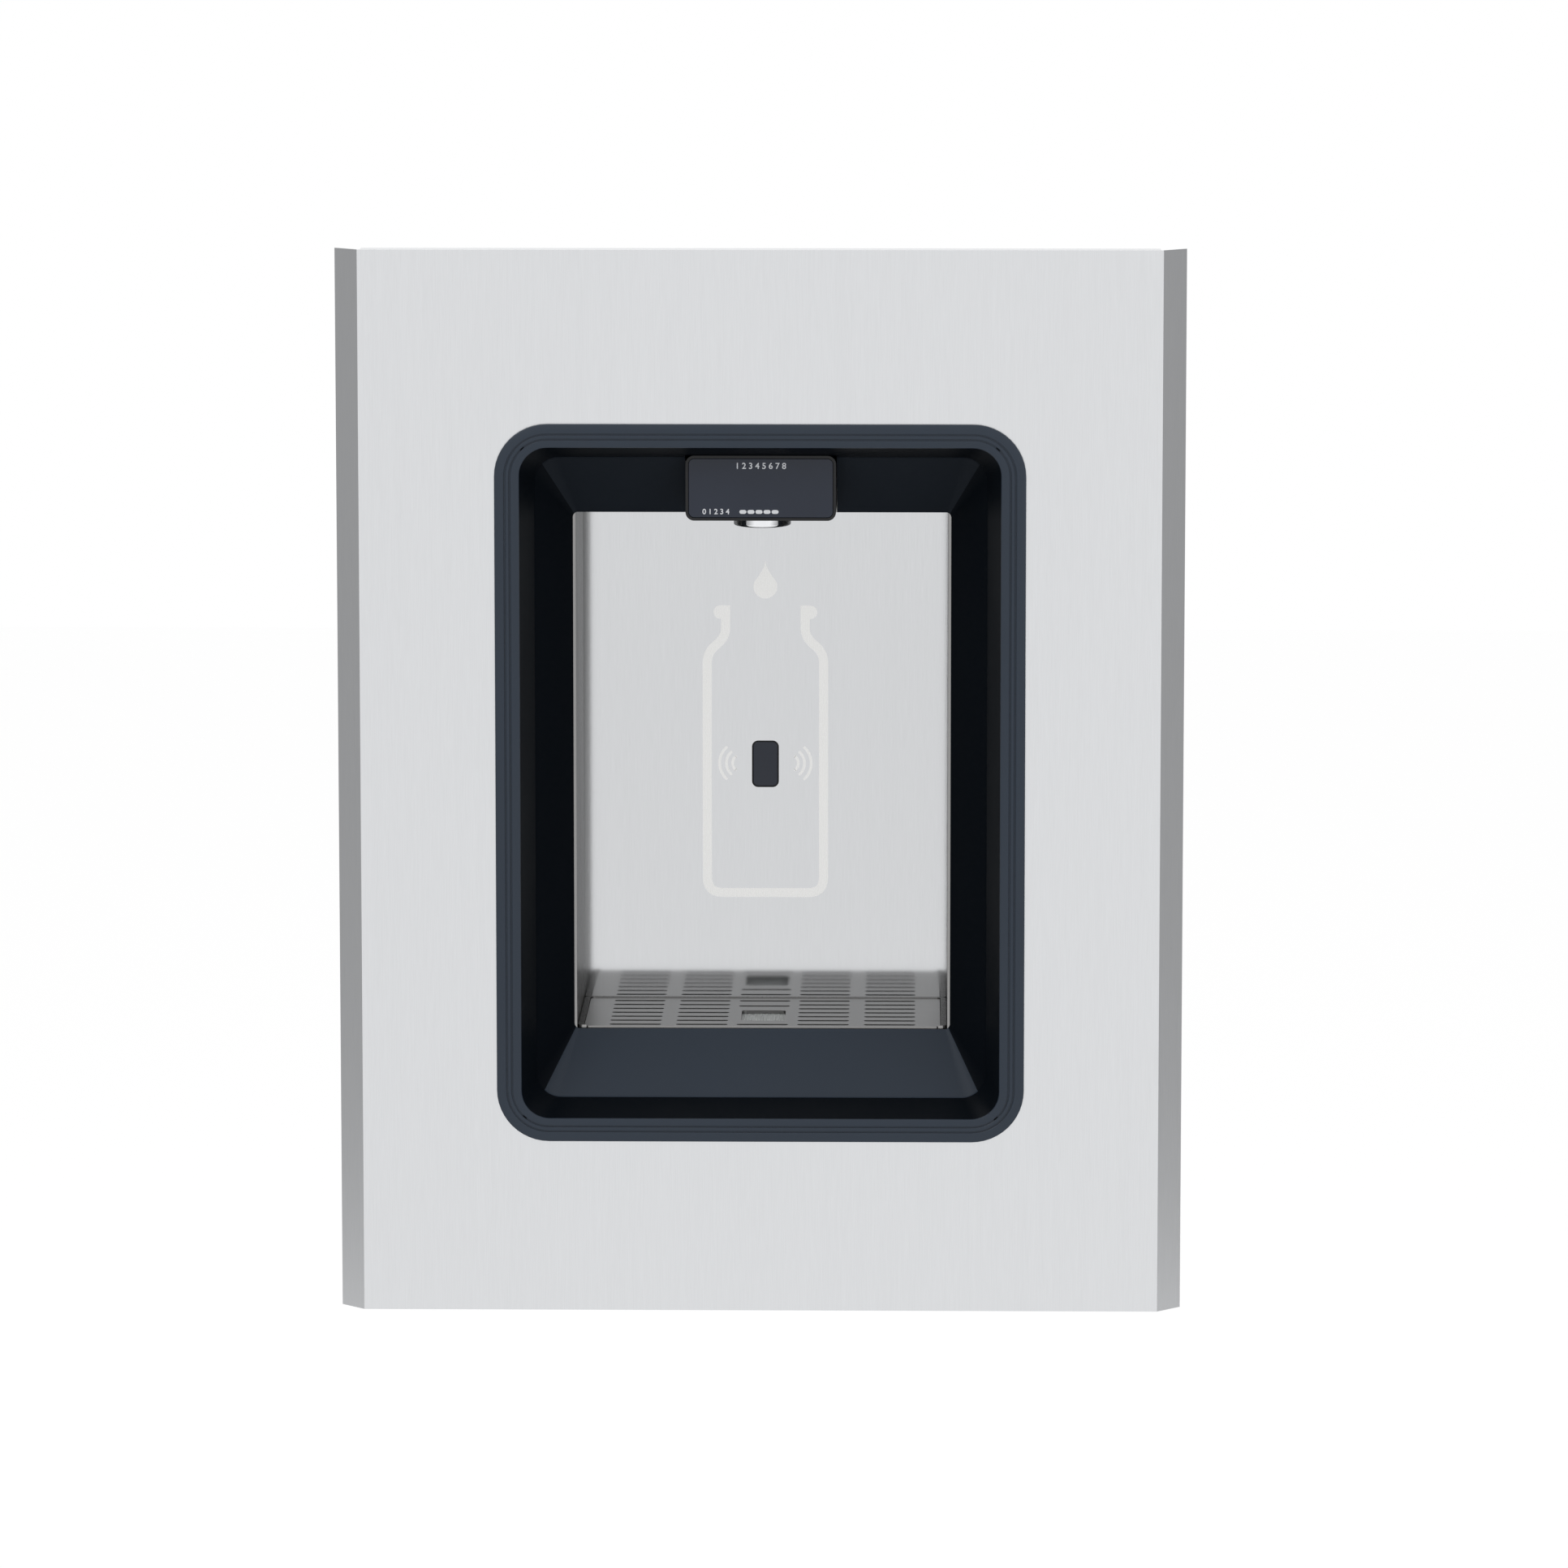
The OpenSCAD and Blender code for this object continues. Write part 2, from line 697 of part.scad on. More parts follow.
// Two mouldings welded at the crease: the frame with its steep wall, and the funnel
module bezel() color(slate_c) {
    difference() {
        union() {
            slab_y(plate_y - bezel_flange_t, plate_y) rounded(bezel_w, bezel_h, bezel_r);
            steep_wall(throat_t, 0, -seam);
            for (p = post_places)
                rod_y([p.x, plate_y - bezel_flange_t / 2, p.y], plate_t + bezel_flange_t / 2, post_r);
        }
        slab_y(plate_y - bezel_flange_t - over, plate_y + over / 4) rounded(lip_w, lip_h, lip_r);
        steep_wall(0, 0, 0);
        ring_groove(lip_edge + outer_band);
        ring_groove(lip_edge + outer_band + groove_w + middle_band);
        for (p = post_places)
            rod_y([p.x, plate_y - bezel_flange_t / 3, p.y], plate_t + bezel_flange_t, post_hole_r);
        display_notch();
    }
    difference() {
        funnel(throat_t, 0);
        slab_y(steep_y - over, steep_y + skin_t) rounded(steep_w, steep_h, steep_r);
        funnel(0, fit);
        slab_y(mouth_y - sheet_t, mouth_y + over) rounded(niche_w + mouth_margin, niche_h, mouth_r);
        display_notch();
    }
}

module bezel_retainer() color(galv_c) difference() {
    slab_y(plate_back_y, plate_back_y + retainer_t) difference() {
        rounded(cut_w + 2 * retainer_out, cut_h + 2 * retainer_out, cut_r + retainer_out);
        rounded(lip_w + 2 * throat_t + 2 * fit, lip_h + 2 * throat_t + 2 * fit, lip_r + throat_t);
    }
    for (p = post_places) rod_y([p.x, plate_back_y - over, p.y], retainer_t + 2 * over, m3_r + fit);
}

module bezel_screws() color(dark_steel_c)
    for (p = post_places) translate([p.x, plate_back_y + retainer_t, p.y]) rotate([90, 0, 0])
        screw(m3_r, retainer_t + plate_t + bezel_flange_t / 4, m3_head_r, m3_head_h);

module niche_liner() color(dark_steel_c) difference() {
    union() {
        for (s = [0, 1]) mirror([s, 0, 0]) {
            span([liner_x, mouth_y, basin_floor_z], [liner_out_x, back_y, ceil_z + sheet_t]);
            span(
                [liner_x, mouth_y, basin_floor_z],
                [liner_out_x + flange_w, mouth_y + sheet_t, ceil_z + head_flange_h]);
            span(
                [liner_x, back_y - sheet_t, basin_floor_z],
                [liner_out_x + flange_w, back_y, ceil_z + sheet_t]);
            span(
                [liner_x - shelf_in, basin_y0, rim_base_z - sheet_t],
                [liner_x + sheet_t / 2, basin_y1, rim_base_z]);
        }
        span([-liner_out_x, mouth_y, ceil_z], [liner_out_x, back_y, ceil_z + sheet_t]);
        span([-liner_out_x, mouth_y, ceil_z], [liner_out_x, mouth_y + sheet_t, ceil_z + head_flange_h]);
        span([-liner_out_x, back_y - sheet_t, ceil_z], [liner_out_x, back_y, ceil_z + flange_w]);
    }
    rod_z([0, nozzle_y, ceil_z - over], sheet_t + 2 * over, neck_r + snug);
    for (p = rivet_places) rod_y([p.x, back_y - sheet_t - over, p.y], sheet_t + 2 * over, rivet_r + snug);
    for (p = strap_places) rod_y([p.x, mouth_y - over, p.y], sheet_t + 2 * over, strap_screw_r + snug);
}

module niche_straps() color(galv_c) for (s = [0, 1], z = [strap_low_z, strap_high_z]) mirror([s, 0, 0])
    difference() {
        union() {
            span([liner_out_x, mouth_y + sheet_t, z], [inner_x, mouth_y + sheet_t + strap_t, z + strap_h]);
            span(
                [inner_x - strap_t, mouth_y + sheet_t, z],
                [inner_x, mouth_y + sheet_t + strap_tab, z + strap_h]);
        }
        rod_y([strap_x, mouth_y, z + strap_h / 2], sheet_t + strap_t + over, strap_screw_r + snug);
    }

module strap_screws() color(steel_c) for (p = strap_places)
    translate([p.x, mouth_y + sheet_t + strap_t, p.y]) rotate([90, 0, 0])
        screw(strap_screw_r, strap_t + sheet_t, strap_head_r, strap_head_h);

module back_panel() color(steel_c) difference() {
    slab_y(back_y, back_y + sheet_t) translate([0, (ceil_z + basin_floor_z) / 2])
        square(
            [2 * (liner_out_x + panel_margin), ceil_z - basin_floor_z + 2 * panel_margin],
            center = true);
    translate([0, 0, sensor_z]) slab_y(back_y - over, back_y + sheet_t + over)
        rounded(sensor_w + 2 * snug, sensor_h + 2 * snug, sensor_r);
    for (p = rivet_places) rod_y([p.x, back_y - over, p.y], sheet_t + 2 * over, rivet_r + snug);
}

module back_panel_rivets() color(steel_c) for (p = rivet_places) {
    rod_y([p.x, back_y - sheet_t, p.y], 2 * sheet_t, rivet_r);
    rod_y([p.x, back_y + sheet_t, p.y], rivet_head_h, rivet_head_r);
}

module basin_outline(in, r) {
    translate([0, drain_y]) rounded(2 * (basin_x - in), basin_y1 - basin_y0 - 2 * in, r);
}

module drain_basin() color(dark_steel_c) difference() {
    rim_in = basin_x - grille_w / 2 - fit; // width of the rim beside the grille
    union() {
        slab_z(rim_base_z, rim_z) basin_outline(0, grille_r);
        slab_z(basin_floor_z, rim_base_z + basin_t) basin_outline(basin_bowl_in, basin_bowl_r);
    }
    slab_z(grille_under_z - snug, rim_z + over) translate([0, (grille_y0 + grille_y1) / 2])
        rounded(2 * (basin_x - rim_in), grille_y1 - grille_y0 + 2 * fit, grille_r);
    slab_z(basin_floor_z + basin_t, rim_z) basin_outline(basin_bowl_in + basin_t, basin_bowl_r - basin_t);
    rod_z([0, drain_y, basin_floor_z - over], basin_t + 2 * over, drain_body_r + fit);
}

module slot_mark(w, h) {
    square([w - h, h], center = true);
    for (s = [-1, 1]) translate([s * (w - h) / 2, 0]) circle(h / 2);
}

module grille_openings() {
    for (i = [0 : slot_rows - 1]) {
        y = first_row_y + i * row_pitch;
        for (x = [-group_far_x, -group_near_x, group_near_x, group_far_x])
            translate([x, y]) slot_mark(slot_w, slot_h);
        if (i == 0 || i == slot_rows - 1) translate([0, y]) slot_mark(slot_w, slot_h);
    }
    translate([0, lone_slot_depth - plate_depth]) slot_mark(slot_w, slot_h);
    translate([0, window_depth - plate_depth]) rounded(window_w, window_l, window_r);
}

module drip_grille() color(dark_steel_c) slab_z(grille_under_z, grille_z) difference() {
    translate([0, (grille_y0 + grille_y1) / 2]) rounded(grille_w, grille_y1 - grille_y0, grille_r);
    grille_openings();
}

module splash_screen() color(galv_c) slab_z(grille_under_z - screen_t, grille_under_z) {
    y_mid = (screen_y0 + screen_y1) / 2;
    w = screen_w - 2 * screen_border;
    l = screen_y1 - screen_y0 - 2 * screen_border;
    cell_w = (w - (screen_cols - 1) * wire_w) / screen_cols;
    cell_l = (l - (screen_rows - 1) * wire_w) / screen_rows;
    difference() {
        basin_outline(screen_in, basin_bowl_r - basin_t);
        for (i = [0 : screen_cols - 1], j = [0 : screen_rows - 1])
            translate([-w / 2 + i * (cell_w + wire_w), y_mid - l / 2 + j * (cell_l + wire_w)])
                square([cell_w, cell_l]);
    }
}

module drain_strainer() color(chrome_c) translate([0, drain_y, 0]) {
    floor_z = basin_floor_z + basin_t;
    difference() {
        union() {
            rod_z([0, 0, floor_z], strainer_t, strainer_r);
            rod_z([0, 0, floor_z - strainer_l], strainer_l, drain_body_r);
        }
        rod_z([0, 0, floor_z - strainer_l - over], strainer_l + strainer_t + 2 * over, drain_bore_r);
    }
    for (a = [0, 90]) rotate([0, 0, a]) translate([-drain_bore_r - fit, -strainer_bar_w / 2, floor_z])
        cube([2 * (drain_bore_r + fit), strainer_bar_w, strainer_t]);
}

module drain_gasket() color(rubber_c) difference() {
    rod_z([0, drain_y, basin_floor_z - gasket_t], gasket_t, strainer_r);
    rod_z([0, drain_y, basin_floor_z - gasket_t - over], gasket_t + 2 * over, drain_body_r + snug);
}

module drain_locknut() color(galv_c) difference() {
    rod_z([0, drain_y, basin_floor_z - gasket_t - nut_t], nut_t, nut_flats / 2, $fn = 6);
    rod_z([0, drain_y, basin_floor_z - gasket_t - nut_t - over], nut_t + 2 * over, drain_body_r + snug);
}

module slip_nut() color(chrome_c) difference() {
    rod_z([0, drain_y, strainer_end_z - slip_nut_low], slip_nut_h, drain_body_r + gasket_t);
    rod_z([0, drain_y, strainer_end_z], slip_nut_h, drain_body_r + snug);
    rod_z([0, drain_y, strainer_end_z - slip_nut_h], 2 * slip_nut_h, drain_r + snug);
    for (a = [0 : 30 : 359]) translate([0, drain_y, 0]) rotate([0, 0, a])
        rod_z(
            [drain_body_r + gasket_t + flute_r / 2, 0, strainer_end_z - slip_nut_low - over],
            slip_nut_h + 2 * over,
            flute_r);
}

module drain_tailpiece() color(chrome_c) difference() {
    top_z = strainer_end_z + tail_up;
    bead_z = tail_end_z + tail_free;
    union() {
        rod_z([0, drain_y, tail_end_z], tail_free, drain_r);
        rod_z([0, drain_y, bead_z], 2 * tail_bead, drain_r + tail_bead);
        rod_z([0, drain_y, bead_z + 2 * tail_bead], top_z - bead_z - 2 * tail_bead, drain_r - snug);
    }
    rod_z([0, drain_y, tail_end_z - over], top_z - tail_end_z + 2 * over, drain_r - tail_wall);
}

// Outline of the display housing, drawn in by a distance
module display_outline(in) {
    translate([0, display_zc]) rounded(display_w - 2 * in, display_h - 2 * in, display_r - in);
}

module display_housing() color(black_c) difference() {
    slab_y(display_y, mouth_y) display_outline(0);
    slab_y(display_y - over, display_y + lens_deep + lens_t) display_outline(display_wall);
    slab_y(display_y, mouth_y - display_wall) display_outline(display_wall + lens_ledge);
    rod_z(
        [display_lead_x, mouth_y - display_lead_back, display_z1 - display_wall - lens_ledge - over],
        display_wall + lens_ledge + 2 * over,
        lead_r + snug);
}

module display_lens() color("#30353f")
    slab_y(display_y + lens_deep, display_y + lens_deep + lens_t) display_outline(display_wall + lens_gap);

// The board lies between the walls of the housing, on their inner faces
module display_board() color(board_c)
    slab_y(board_y, board_y + board_t) display_outline(display_wall + lens_ledge + snug / 2);

// Digit block and a row of lights on the board
module digit_module() color(black_c) {
    translate([digit_x + digit_w / 2, 0, display_zc])
        slab_y(display_y + lens_deep + lens_t + snug, board_y) square([digit_w, digit_h], center = true);
    for (i = [0 : led_count - 1])
        rod_y([led_x0 + i * led_pitch, board_y - 2 * led_r, display_zc + led_z], 2 * led_r, led_r);
}

module nozzle_body() color(black_c) difference() {
    union() {
        span([-body_w / 2, mouth_y + sheet_t, body_z0], [body_w / 2, mouth_y + sheet_t + body_l, body_z1]);
        rod_z([0, nozzle_y, ceil_z - neck_drop], neck_drop + sheet_t + over, neck_r);
        rod_z([0, nozzle_y, body_z1 - over], port_h + over, port_r);
    }
    rod_z([0, nozzle_y, ceil_z - neck_drop - over], neck_drop + over + body_h / 2, neck_bore_r);
    rod_z([0, nozzle_y, ceil_z], body_h + port_h + 2 * over, port_bore_r);
    rod_z([0, nozzle_y, body_z1 + port_h - socket_l], socket_l + over, socket_r);
}

module nozzle_ring() color(chrome_c) translate([0, nozzle_y, ring_top_z]) rotate_extrude() intersection() {
    translate([ring_bore_r, -ring_h]) square([ring_r - ring_bore_r, ring_h]);
    union() {
        translate([0, -ring_h]) square([ring_r - ring_round, ring_h]);
        translate([0, ring_round - ring_h]) square([ring_r, ring_h]);
        translate([ring_r - ring_round, ring_round - ring_h]) circle(ring_round);
    }
}

module flow_straightener() color(white_c) translate([0, nozzle_y, ceil_z - neck_drop]) difference() {
    rod_z([0, 0, snug], straightener_t, neck_bore_r - snug);
    for (ring = [0 : 3], i = [0 : max(0, 6 * ring - 1)]) rotate([0, 0, i * 60 / max(1, ring)])
        rod_z([ring * straightener_pitch, 0, -over], straightener_t + 2 * over, straightener_hole_r);
}

module sensor_window() color("#3d414f") translate([0, 0, sensor_z])
    slab_y(sensor_y0, sensor_y0 + sensor_lens_t) rounded(sensor_w, sensor_h, sensor_r - snug);

module sensor_housing() color(black_c) difference() {
    translate([0, 0, sensor_z]) slab_y(sensor_case_y0, sensor_case_y1)
        rounded(sensor_case_w, sensor_case_h, sensor_r);
    translate([0, 0, sensor_z]) slab_y(sensor_case_y0 - over, sensor_y0 + sensor_lens_t)
        rounded(sensor_w + 2 * snug, sensor_h + 2 * snug, sensor_r);
    translate([0, 0, sensor_z]) slab_y(sensor_case_y0 + sensor_wall, sensor_case_y1 - sensor_wall)
        square([sensor_w - 2 * sensor_wall, sensor_h - 2 * sensor_wall], center = true);
    translate([0, 0, sensor_z]) slab_y(sensor_case_y0 + sensor_board_deep, sensor_case_y1 - sensor_wall)
        square([sensor_w + sensor_board_grow, sensor_h + sensor_board_grow], center = true);
    rod_x([0, (sensor_case_y0 + sensor_case_y1) / 2 + sensor_wall, sensor_z], sensor_case_w, lead_r + snug);
    for (p = sensor_screw_places)
        rod_y([p.x, sensor_case_y0 - over, p.y], sensor_case_d + 2 * over, m3_r + snug);
}

module sensor_board() color(board_c) translate([0, 0, sensor_z])
    slab_y(sensor_case_y0 + sensor_board_deep, sensor_case_y0 + sensor_board_deep + board_t)
        square([sensor_w + sensor_board_grow - snug, sensor_h + sensor_board_grow - snug], center = true);

module sensor_screws() color(steel_c) for (p = sensor_screw_places)
    translate([p.x, sensor_case_y1, p.y]) rotate([90, 0, 0])
        screw(m3_r, sensor_case_d, m3_head_r, m3_head_h);

module inlet_stub() color(brass_c) difference() {
    floor_z = -box_h / 2;
    union() {
        rod_z([bay_x, supply_y, stub_end_z], stub_free, tube_r);
        rod_z([bay_x, supply_y, stub_end_z + stub_free], floor_z - stub_end_z - stub_free, collar_r);
        rod_z([bay_x, supply_y, floor_z - over / 2], valve_z0 - floor_z + over / 2, tube_r + fit);
    }
    rod_z([bay_x, supply_y, stub_end_z - over], valve_z0 - stub_end_z + 2 * over, port_bore_r);
}

module bulkhead_nut() color(brass_c) difference() {
    rod_z([bay_x, supply_y, -inner_z], collar_h + nut_small_h - snug, nut_small_r, $fn = 6);
    rod_z([bay_x, supply_y, -inner_z - over], collar_h + nut_small_h + 2 * over, tube_r + fit + snug);
}

module stop_valve_body() color(brass_c) difference() {
    union() {
        rod_z([bay_x, supply_y, valve_z0], valve_l, valve_r);
        rod_y([bay_x, supply_y - boss_l, valve_zc], boss_l, boss_r);
    }
    rod_z([bay_x, supply_y, valve_z0 - over], valve_l + 2 * over, port_bore_r);
    rod_z([bay_x, supply_y, valve_z1 - socket_l], socket_l + over, socket_r);
    translate([bay_x, supply_y, valve_zc]) sphere(ball_r + fit);
    rod_y([bay_x, supply_y - boss_l - over, valve_zc], boss_l + over, stem_r + fit);
}

module valve_ball() color(chrome_c) difference() {
    union() {
        translate([bay_x, supply_y, valve_zc]) sphere(ball_r);
        rod_y([bay_x, supply_y - boss_l - fit - lever_t, valve_zc], boss_l + fit + lever_t, stem_r);
    }
    rod_z([bay_x, supply_y, valve_zc - 2 * ball_r], 4 * ball_r, port_bore_r);
}

module stop_valve_handle() color(blue_c) translate([bay_x, 0, valve_zc]) difference() {
    slab_y(supply_y - boss_l - fit - lever_t, supply_y - boss_l - fit) {
        circle(hub_r);
        translate([-lever_w / 2, 0]) square([lever_w, lever_l - lever_w / 2]);
        translate([0, lever_l - lever_w / 2]) circle(lever_w / 2);
    }
    rod_y([0, supply_y - boss_l - fit - lever_t - over, 0], lever_t + 2 * over, stem_r + snug);
}

module supply_tube() color(white_c) water_tube([
    [bay_x, supply_y, valve_z1 - socket_l + snug],
    [bay_x, supply_y, head_port_z],
    [bay_x, nozzle_y + head_r + over + snug, head_port_z]
], tube_bend);

// The bracket hangs the filter head from the side of the box
module filter_bracket() color(galv_c) difference() {
    union() {
        span(
            [-inner_x, nozzle_y - head_r / 2, head_z1],
            [bay_x + head_r, nozzle_y + head_r, head_z1 + bracket_t]);
        span(
            [-inner_x, nozzle_y - head_r / 2, head_z1 - bracket_drop],
            [-inner_x + bracket_t / 2, nozzle_y + head_r, head_z1 + bracket_t]);
    }
    rod_z([bay_x, nozzle_y, head_z1 - over], bracket_t + 2 * over, port_r + snug);
}

module sector(r0, r1, half_angle, l) {
    rotate([0, 0, -half_angle]) rotate_extrude(angle = 2 * half_angle)
        translate([r0, 0]) square([r1 - r0, l]);
}

module filter_head() color(black_c) translate([bay_x, nozzle_y, 0]) difference() {
    union() {
        rod_z([0, 0, head_z0], head_h, head_r);
        rod_z([0, 0, head_z1 - over], bracket_t + port_h + over, port_r);
        rod_y([0, 0, head_port_z], head_r + port_h, port_r);
    }
    rod_z([0, 0, head_z0 - over], cart_neck_h + 2 * over, cart_neck_r + fit + snug);
    rod_z([0, 0, head_z0 + ledge_h], 2 * lug_h, cart_neck_r + lug_out + fit + snug);
    for (a = [0, 180]) rotate([0, 0, a + twist]) translate([0, 0, head_z0 - over])
        sector(cart_neck_r - lug_out, cart_neck_r + lug_out + fit, slot_angle / 2, ledge_h + 2 * over);
    rod_z([0, 0, head_z0], head_h + bracket_t + port_h + over, port_bore_r);
    rod_z([0, 0, head_z1 + bracket_t + port_h - socket_l], socket_l + over, socket_r);
    rod_z([0, gallery_y, head_z0 + cart_neck_h], head_port_up - cart_neck_h, gallery_r);
    rod_y([0, gallery_y - port_bore_r, head_port_z], head_r + port_h + over, port_bore_r);
    rod_y([0, head_r + over, head_port_z], port_h + over, socket_r);
}

module filter_cartridge() color(white_c) translate([bay_x, nozzle_y, 0]) difference() {
    union() {
        rotate_extrude() difference() {
            union() {
                translate([0, cart_top_z - filter_l + cart_dome])
                    square([filter_r, filter_l - 2 * cart_dome]);
                translate([0, cart_top_z - filter_l]) square([filter_r - cart_dome, filter_l]);
                for (z = [cart_top_z - cart_dome, cart_top_z - filter_l + cart_dome])
                    translate([filter_r - cart_dome, z]) circle(cart_dome);
            }
            translate([-2 * filter_r, -filter_l]) square([2 * filter_r, 2 * filter_l]);
        }
        rod_z([0, 0, cart_top_z - over], cart_neck_h + over, cart_neck_r);
        for (a = [0, 180]) rotate([0, 0, a]) translate([0, 0, head_z0 + ledge_h + fit])
            sector(cart_neck_r - over, cart_neck_r + lug_out, lug_angle / 2, lug_h);
    }
    rod_z([0, 0, cart_top_z + cart_neck_h / 3], cart_neck_h, port_bore_r);
    translate([0, 0, seal_z - seal_r]) difference() {
        cylinder(h = 2 * seal_r, r = cart_neck_r + over);
        translate([0, 0, -over]) cylinder(h = 2 * seal_r + 2 * over, r = cart_neck_r - seal_groove);
    }
}

module filter_seal() color(rubber_c) translate([bay_x, nozzle_y, seal_z])
    rotate_extrude() translate([cart_neck_r - seal_groove + seal_r, 0]) circle(seal_r);

module filtered_tube() color(white_c) water_tube([
    [bay_x, nozzle_y, head_z1 + bracket_t + port_h - socket_l + snug],
    [bay_x, nozzle_y, reg_z0 + socket_l - snug]
], tube_bend);

module flow_regulator() color(brass_c) translate([bay_x, nozzle_y, 0]) difference() {
    union() {
        rod_z([0, 0, reg_z0], reg_h, reg_r);
        rod_y([0, -reg_boss_l, reg_zc], reg_boss_l, boss_r);
    }
    rod_z([0, 0, reg_z0 - over], reg_h + 2 * over, port_bore_r);
    for (z = [reg_z0 - over, reg_z1 - socket_l]) rod_z([0, 0, z], socket_l + over, socket_r);
    rod_y([0, -reg_boss_l - over, reg_zc], reg_boss_l + over - port_bore_r, stem_r + fit);
}

module regulator_knob() color(black_c)
translate([bay_x, nozzle_y - reg_boss_l - fit, reg_zc]) difference() {
    union() {
        rod_y([0, -knob_h, 0], knob_h, knob_r);
        rod_y([0, -over, 0], knob_stem_l + over, stem_r);
    }
    for (i = [0 : knob_flutes - 1]) rotate([0, i * 360 / knob_flutes, 0])
        rod_y([knob_r + flute_r / 3, -knob_h - over, 0], knob_h + over - fit, flute_r);
    span([-flute_r / 2, -knob_h - over, 0], [flute_r / 2, -knob_h + fit, knob_r * mark_share]);
}

module riser_tube() color(white_c) water_tube([
    [bay_x, nozzle_y, reg_z1 - socket_l + snug],
    [bay_x, nozzle_y, line_z],
    [sol_x - sol_w / 2 + socket_l - snug, nozzle_y, line_z]
], nozzle_bend);

module solenoid_valve() color(brass_c) translate([sol_x, nozzle_y, 0]) difference() {
    union() {
        span([-sol_w / 2, -sol_l / 2, sol_z0], [sol_w / 2, sol_l / 2, sol_z1]);
        rod_z([0, 0, sol_z1 - over], guide_h + over, guide_r);
    }
    difference() {
        rod_z([0, 0, seat_z], sol_z1 - seat_z + snug, chamber_r);
        rod_z([0, 0, seat_z - over], seat_lip + over, seat_r);
    }
    rod_z([0, 0, seat_z + seat_lip], guide_top_z - seat_z - seat_lip, guide_in_r);
    rod_z([0, 0, line_z], seat_rise + seat_lip + over, orifice_r);
    rod_z([-pilot_x, 0, line_z], seat_rise + seat_lip, pilot_r);
    rod_x([-sol_w / 2 - over, 0, line_z], sol_w / 2 + over - pilot_x, port_bore_r);
    rod_x([0, 0, line_z], sol_w / 2 + over, port_bore_r);
    rod_x([-sol_w / 2 - over, 0, line_z], socket_l + over, socket_r);
    rod_x([sol_w / 2 - socket_l, 0, line_z], socket_l + over, socket_r);
}

module solenoid_coil() color(black_c) difference() {
    translate([sol_x, nozzle_y, 0]) slab_z(sol_z1, sol_z1 + coil_h) rounded(coil_w, coil_w, coil_corner_r);
    rod_z([sol_x, nozzle_y, sol_z1 - over], coil_h + 2 * over, guide_r + snug);
}

module solenoid_plunger() color(chrome_c) rod_z([sol_x, nozzle_y, core_z0], core_l, core_r);

module valve_seal() color(rubber_c) rod_z([sol_x, nozzle_y, seal_z0], seal_t, seat_r + seal_lap);

module plunger_spring() color(steel_c) difference() {
    rod_z([sol_x, nozzle_y, core_z1], guide_top_z - core_z1, spring_r);
    rod_z([sol_x, nozzle_y, core_z1 - over], guide_top_z - core_z1 + 2 * over, spring_r - spring_t);
}

module nozzle_tube() color(white_c) water_tube([
    [0, nozzle_y, body_z1 + port_h - socket_l + snug],
    [0, nozzle_y, line_z],
    [sol_x + sol_w / 2 - socket_l + snug, nozzle_y, line_z]
], nozzle_bend);

// The controller stands against the back of the box
module control_box() color(black_c) difference() {
    span([ctrl_x0, ctrl_y0 + ctrl_lid_t, ctrl_z0], [ctrl_x1, box_y, ctrl_z1]);
    span(
        [ctrl_x0 + ctrl_wall, ctrl_y0 - over, ctrl_z0 + ctrl_wall],
        [ctrl_x1 - ctrl_wall, box_y - ctrl_wall, ctrl_z1 - ctrl_wall]);
    rod_x([ctrl_x0 - over, coil_lead_y, coil_lead_z], ctrl_wall + 2 * over, lead_r + snug);
    rod_z([gland_x, gland_y, ctrl_z0 - over], ctrl_wall + 2 * over, lead_r + snug);
    rod_z([sensor_lead_x, sensor_lead_y, ctrl_z0 - over], ctrl_wall + 2 * over, lead_r + snug);
}

module control_box_lid() color("#2a2d33") difference() {
    in = ctrl_wall + ctrl_lid_gap;
    union() {
        span([ctrl_x0, ctrl_y0, ctrl_z0], [ctrl_x1, ctrl_y0 + ctrl_lid_t, ctrl_z1]);
        difference() {
            span(
                [ctrl_x0 + in, ctrl_y0, ctrl_z0 + in],
                [ctrl_x1 - in, ctrl_y0 + 2 * ctrl_lid_t, ctrl_z1 - in]);
            span(
                [ctrl_x0 + 2 * ctrl_wall, ctrl_y0 + ctrl_lid_t, ctrl_z0 + 2 * ctrl_wall],
                [ctrl_x1 - 2 * ctrl_wall, ctrl_y0 + 3 * ctrl_lid_t, ctrl_z1 - 2 * ctrl_wall]);
        }
    }
    rod_y([ctrl_lead_x, ctrl_y0 - over, display_lead_z], 2 * ctrl_lid_t + 2 * over, lead_r + snug);
}

module control_board() color(board_c) span(
    [ctrl_x0 + ctrl_board_in, box_y - ctrl_wall - board_t, ctrl_z0 + ctrl_board_in],
    [ctrl_x1 - ctrl_board_in, box_y - ctrl_wall, ctrl_z1 - ctrl_board_in]);

module power_supply() color(dark_steel_c) difference() {
    span([inner_x - psu_w, psu_y0, psu_z0], [inner_x, psu_y0 + psu_l, psu_z0 + psu_h]);
    for (i = [1 : psu_fins]) translate([0, 0, i * psu_h / (psu_fins + 1)])
        span([inner_x - psu_w - over, psu_y0 + fin_end, psu_z0 - fin_deep / 2],
            [inner_x - psu_w + fin_deep, psu_y0 + psu_l - fin_end, psu_z0 + fin_deep / 2]);
}

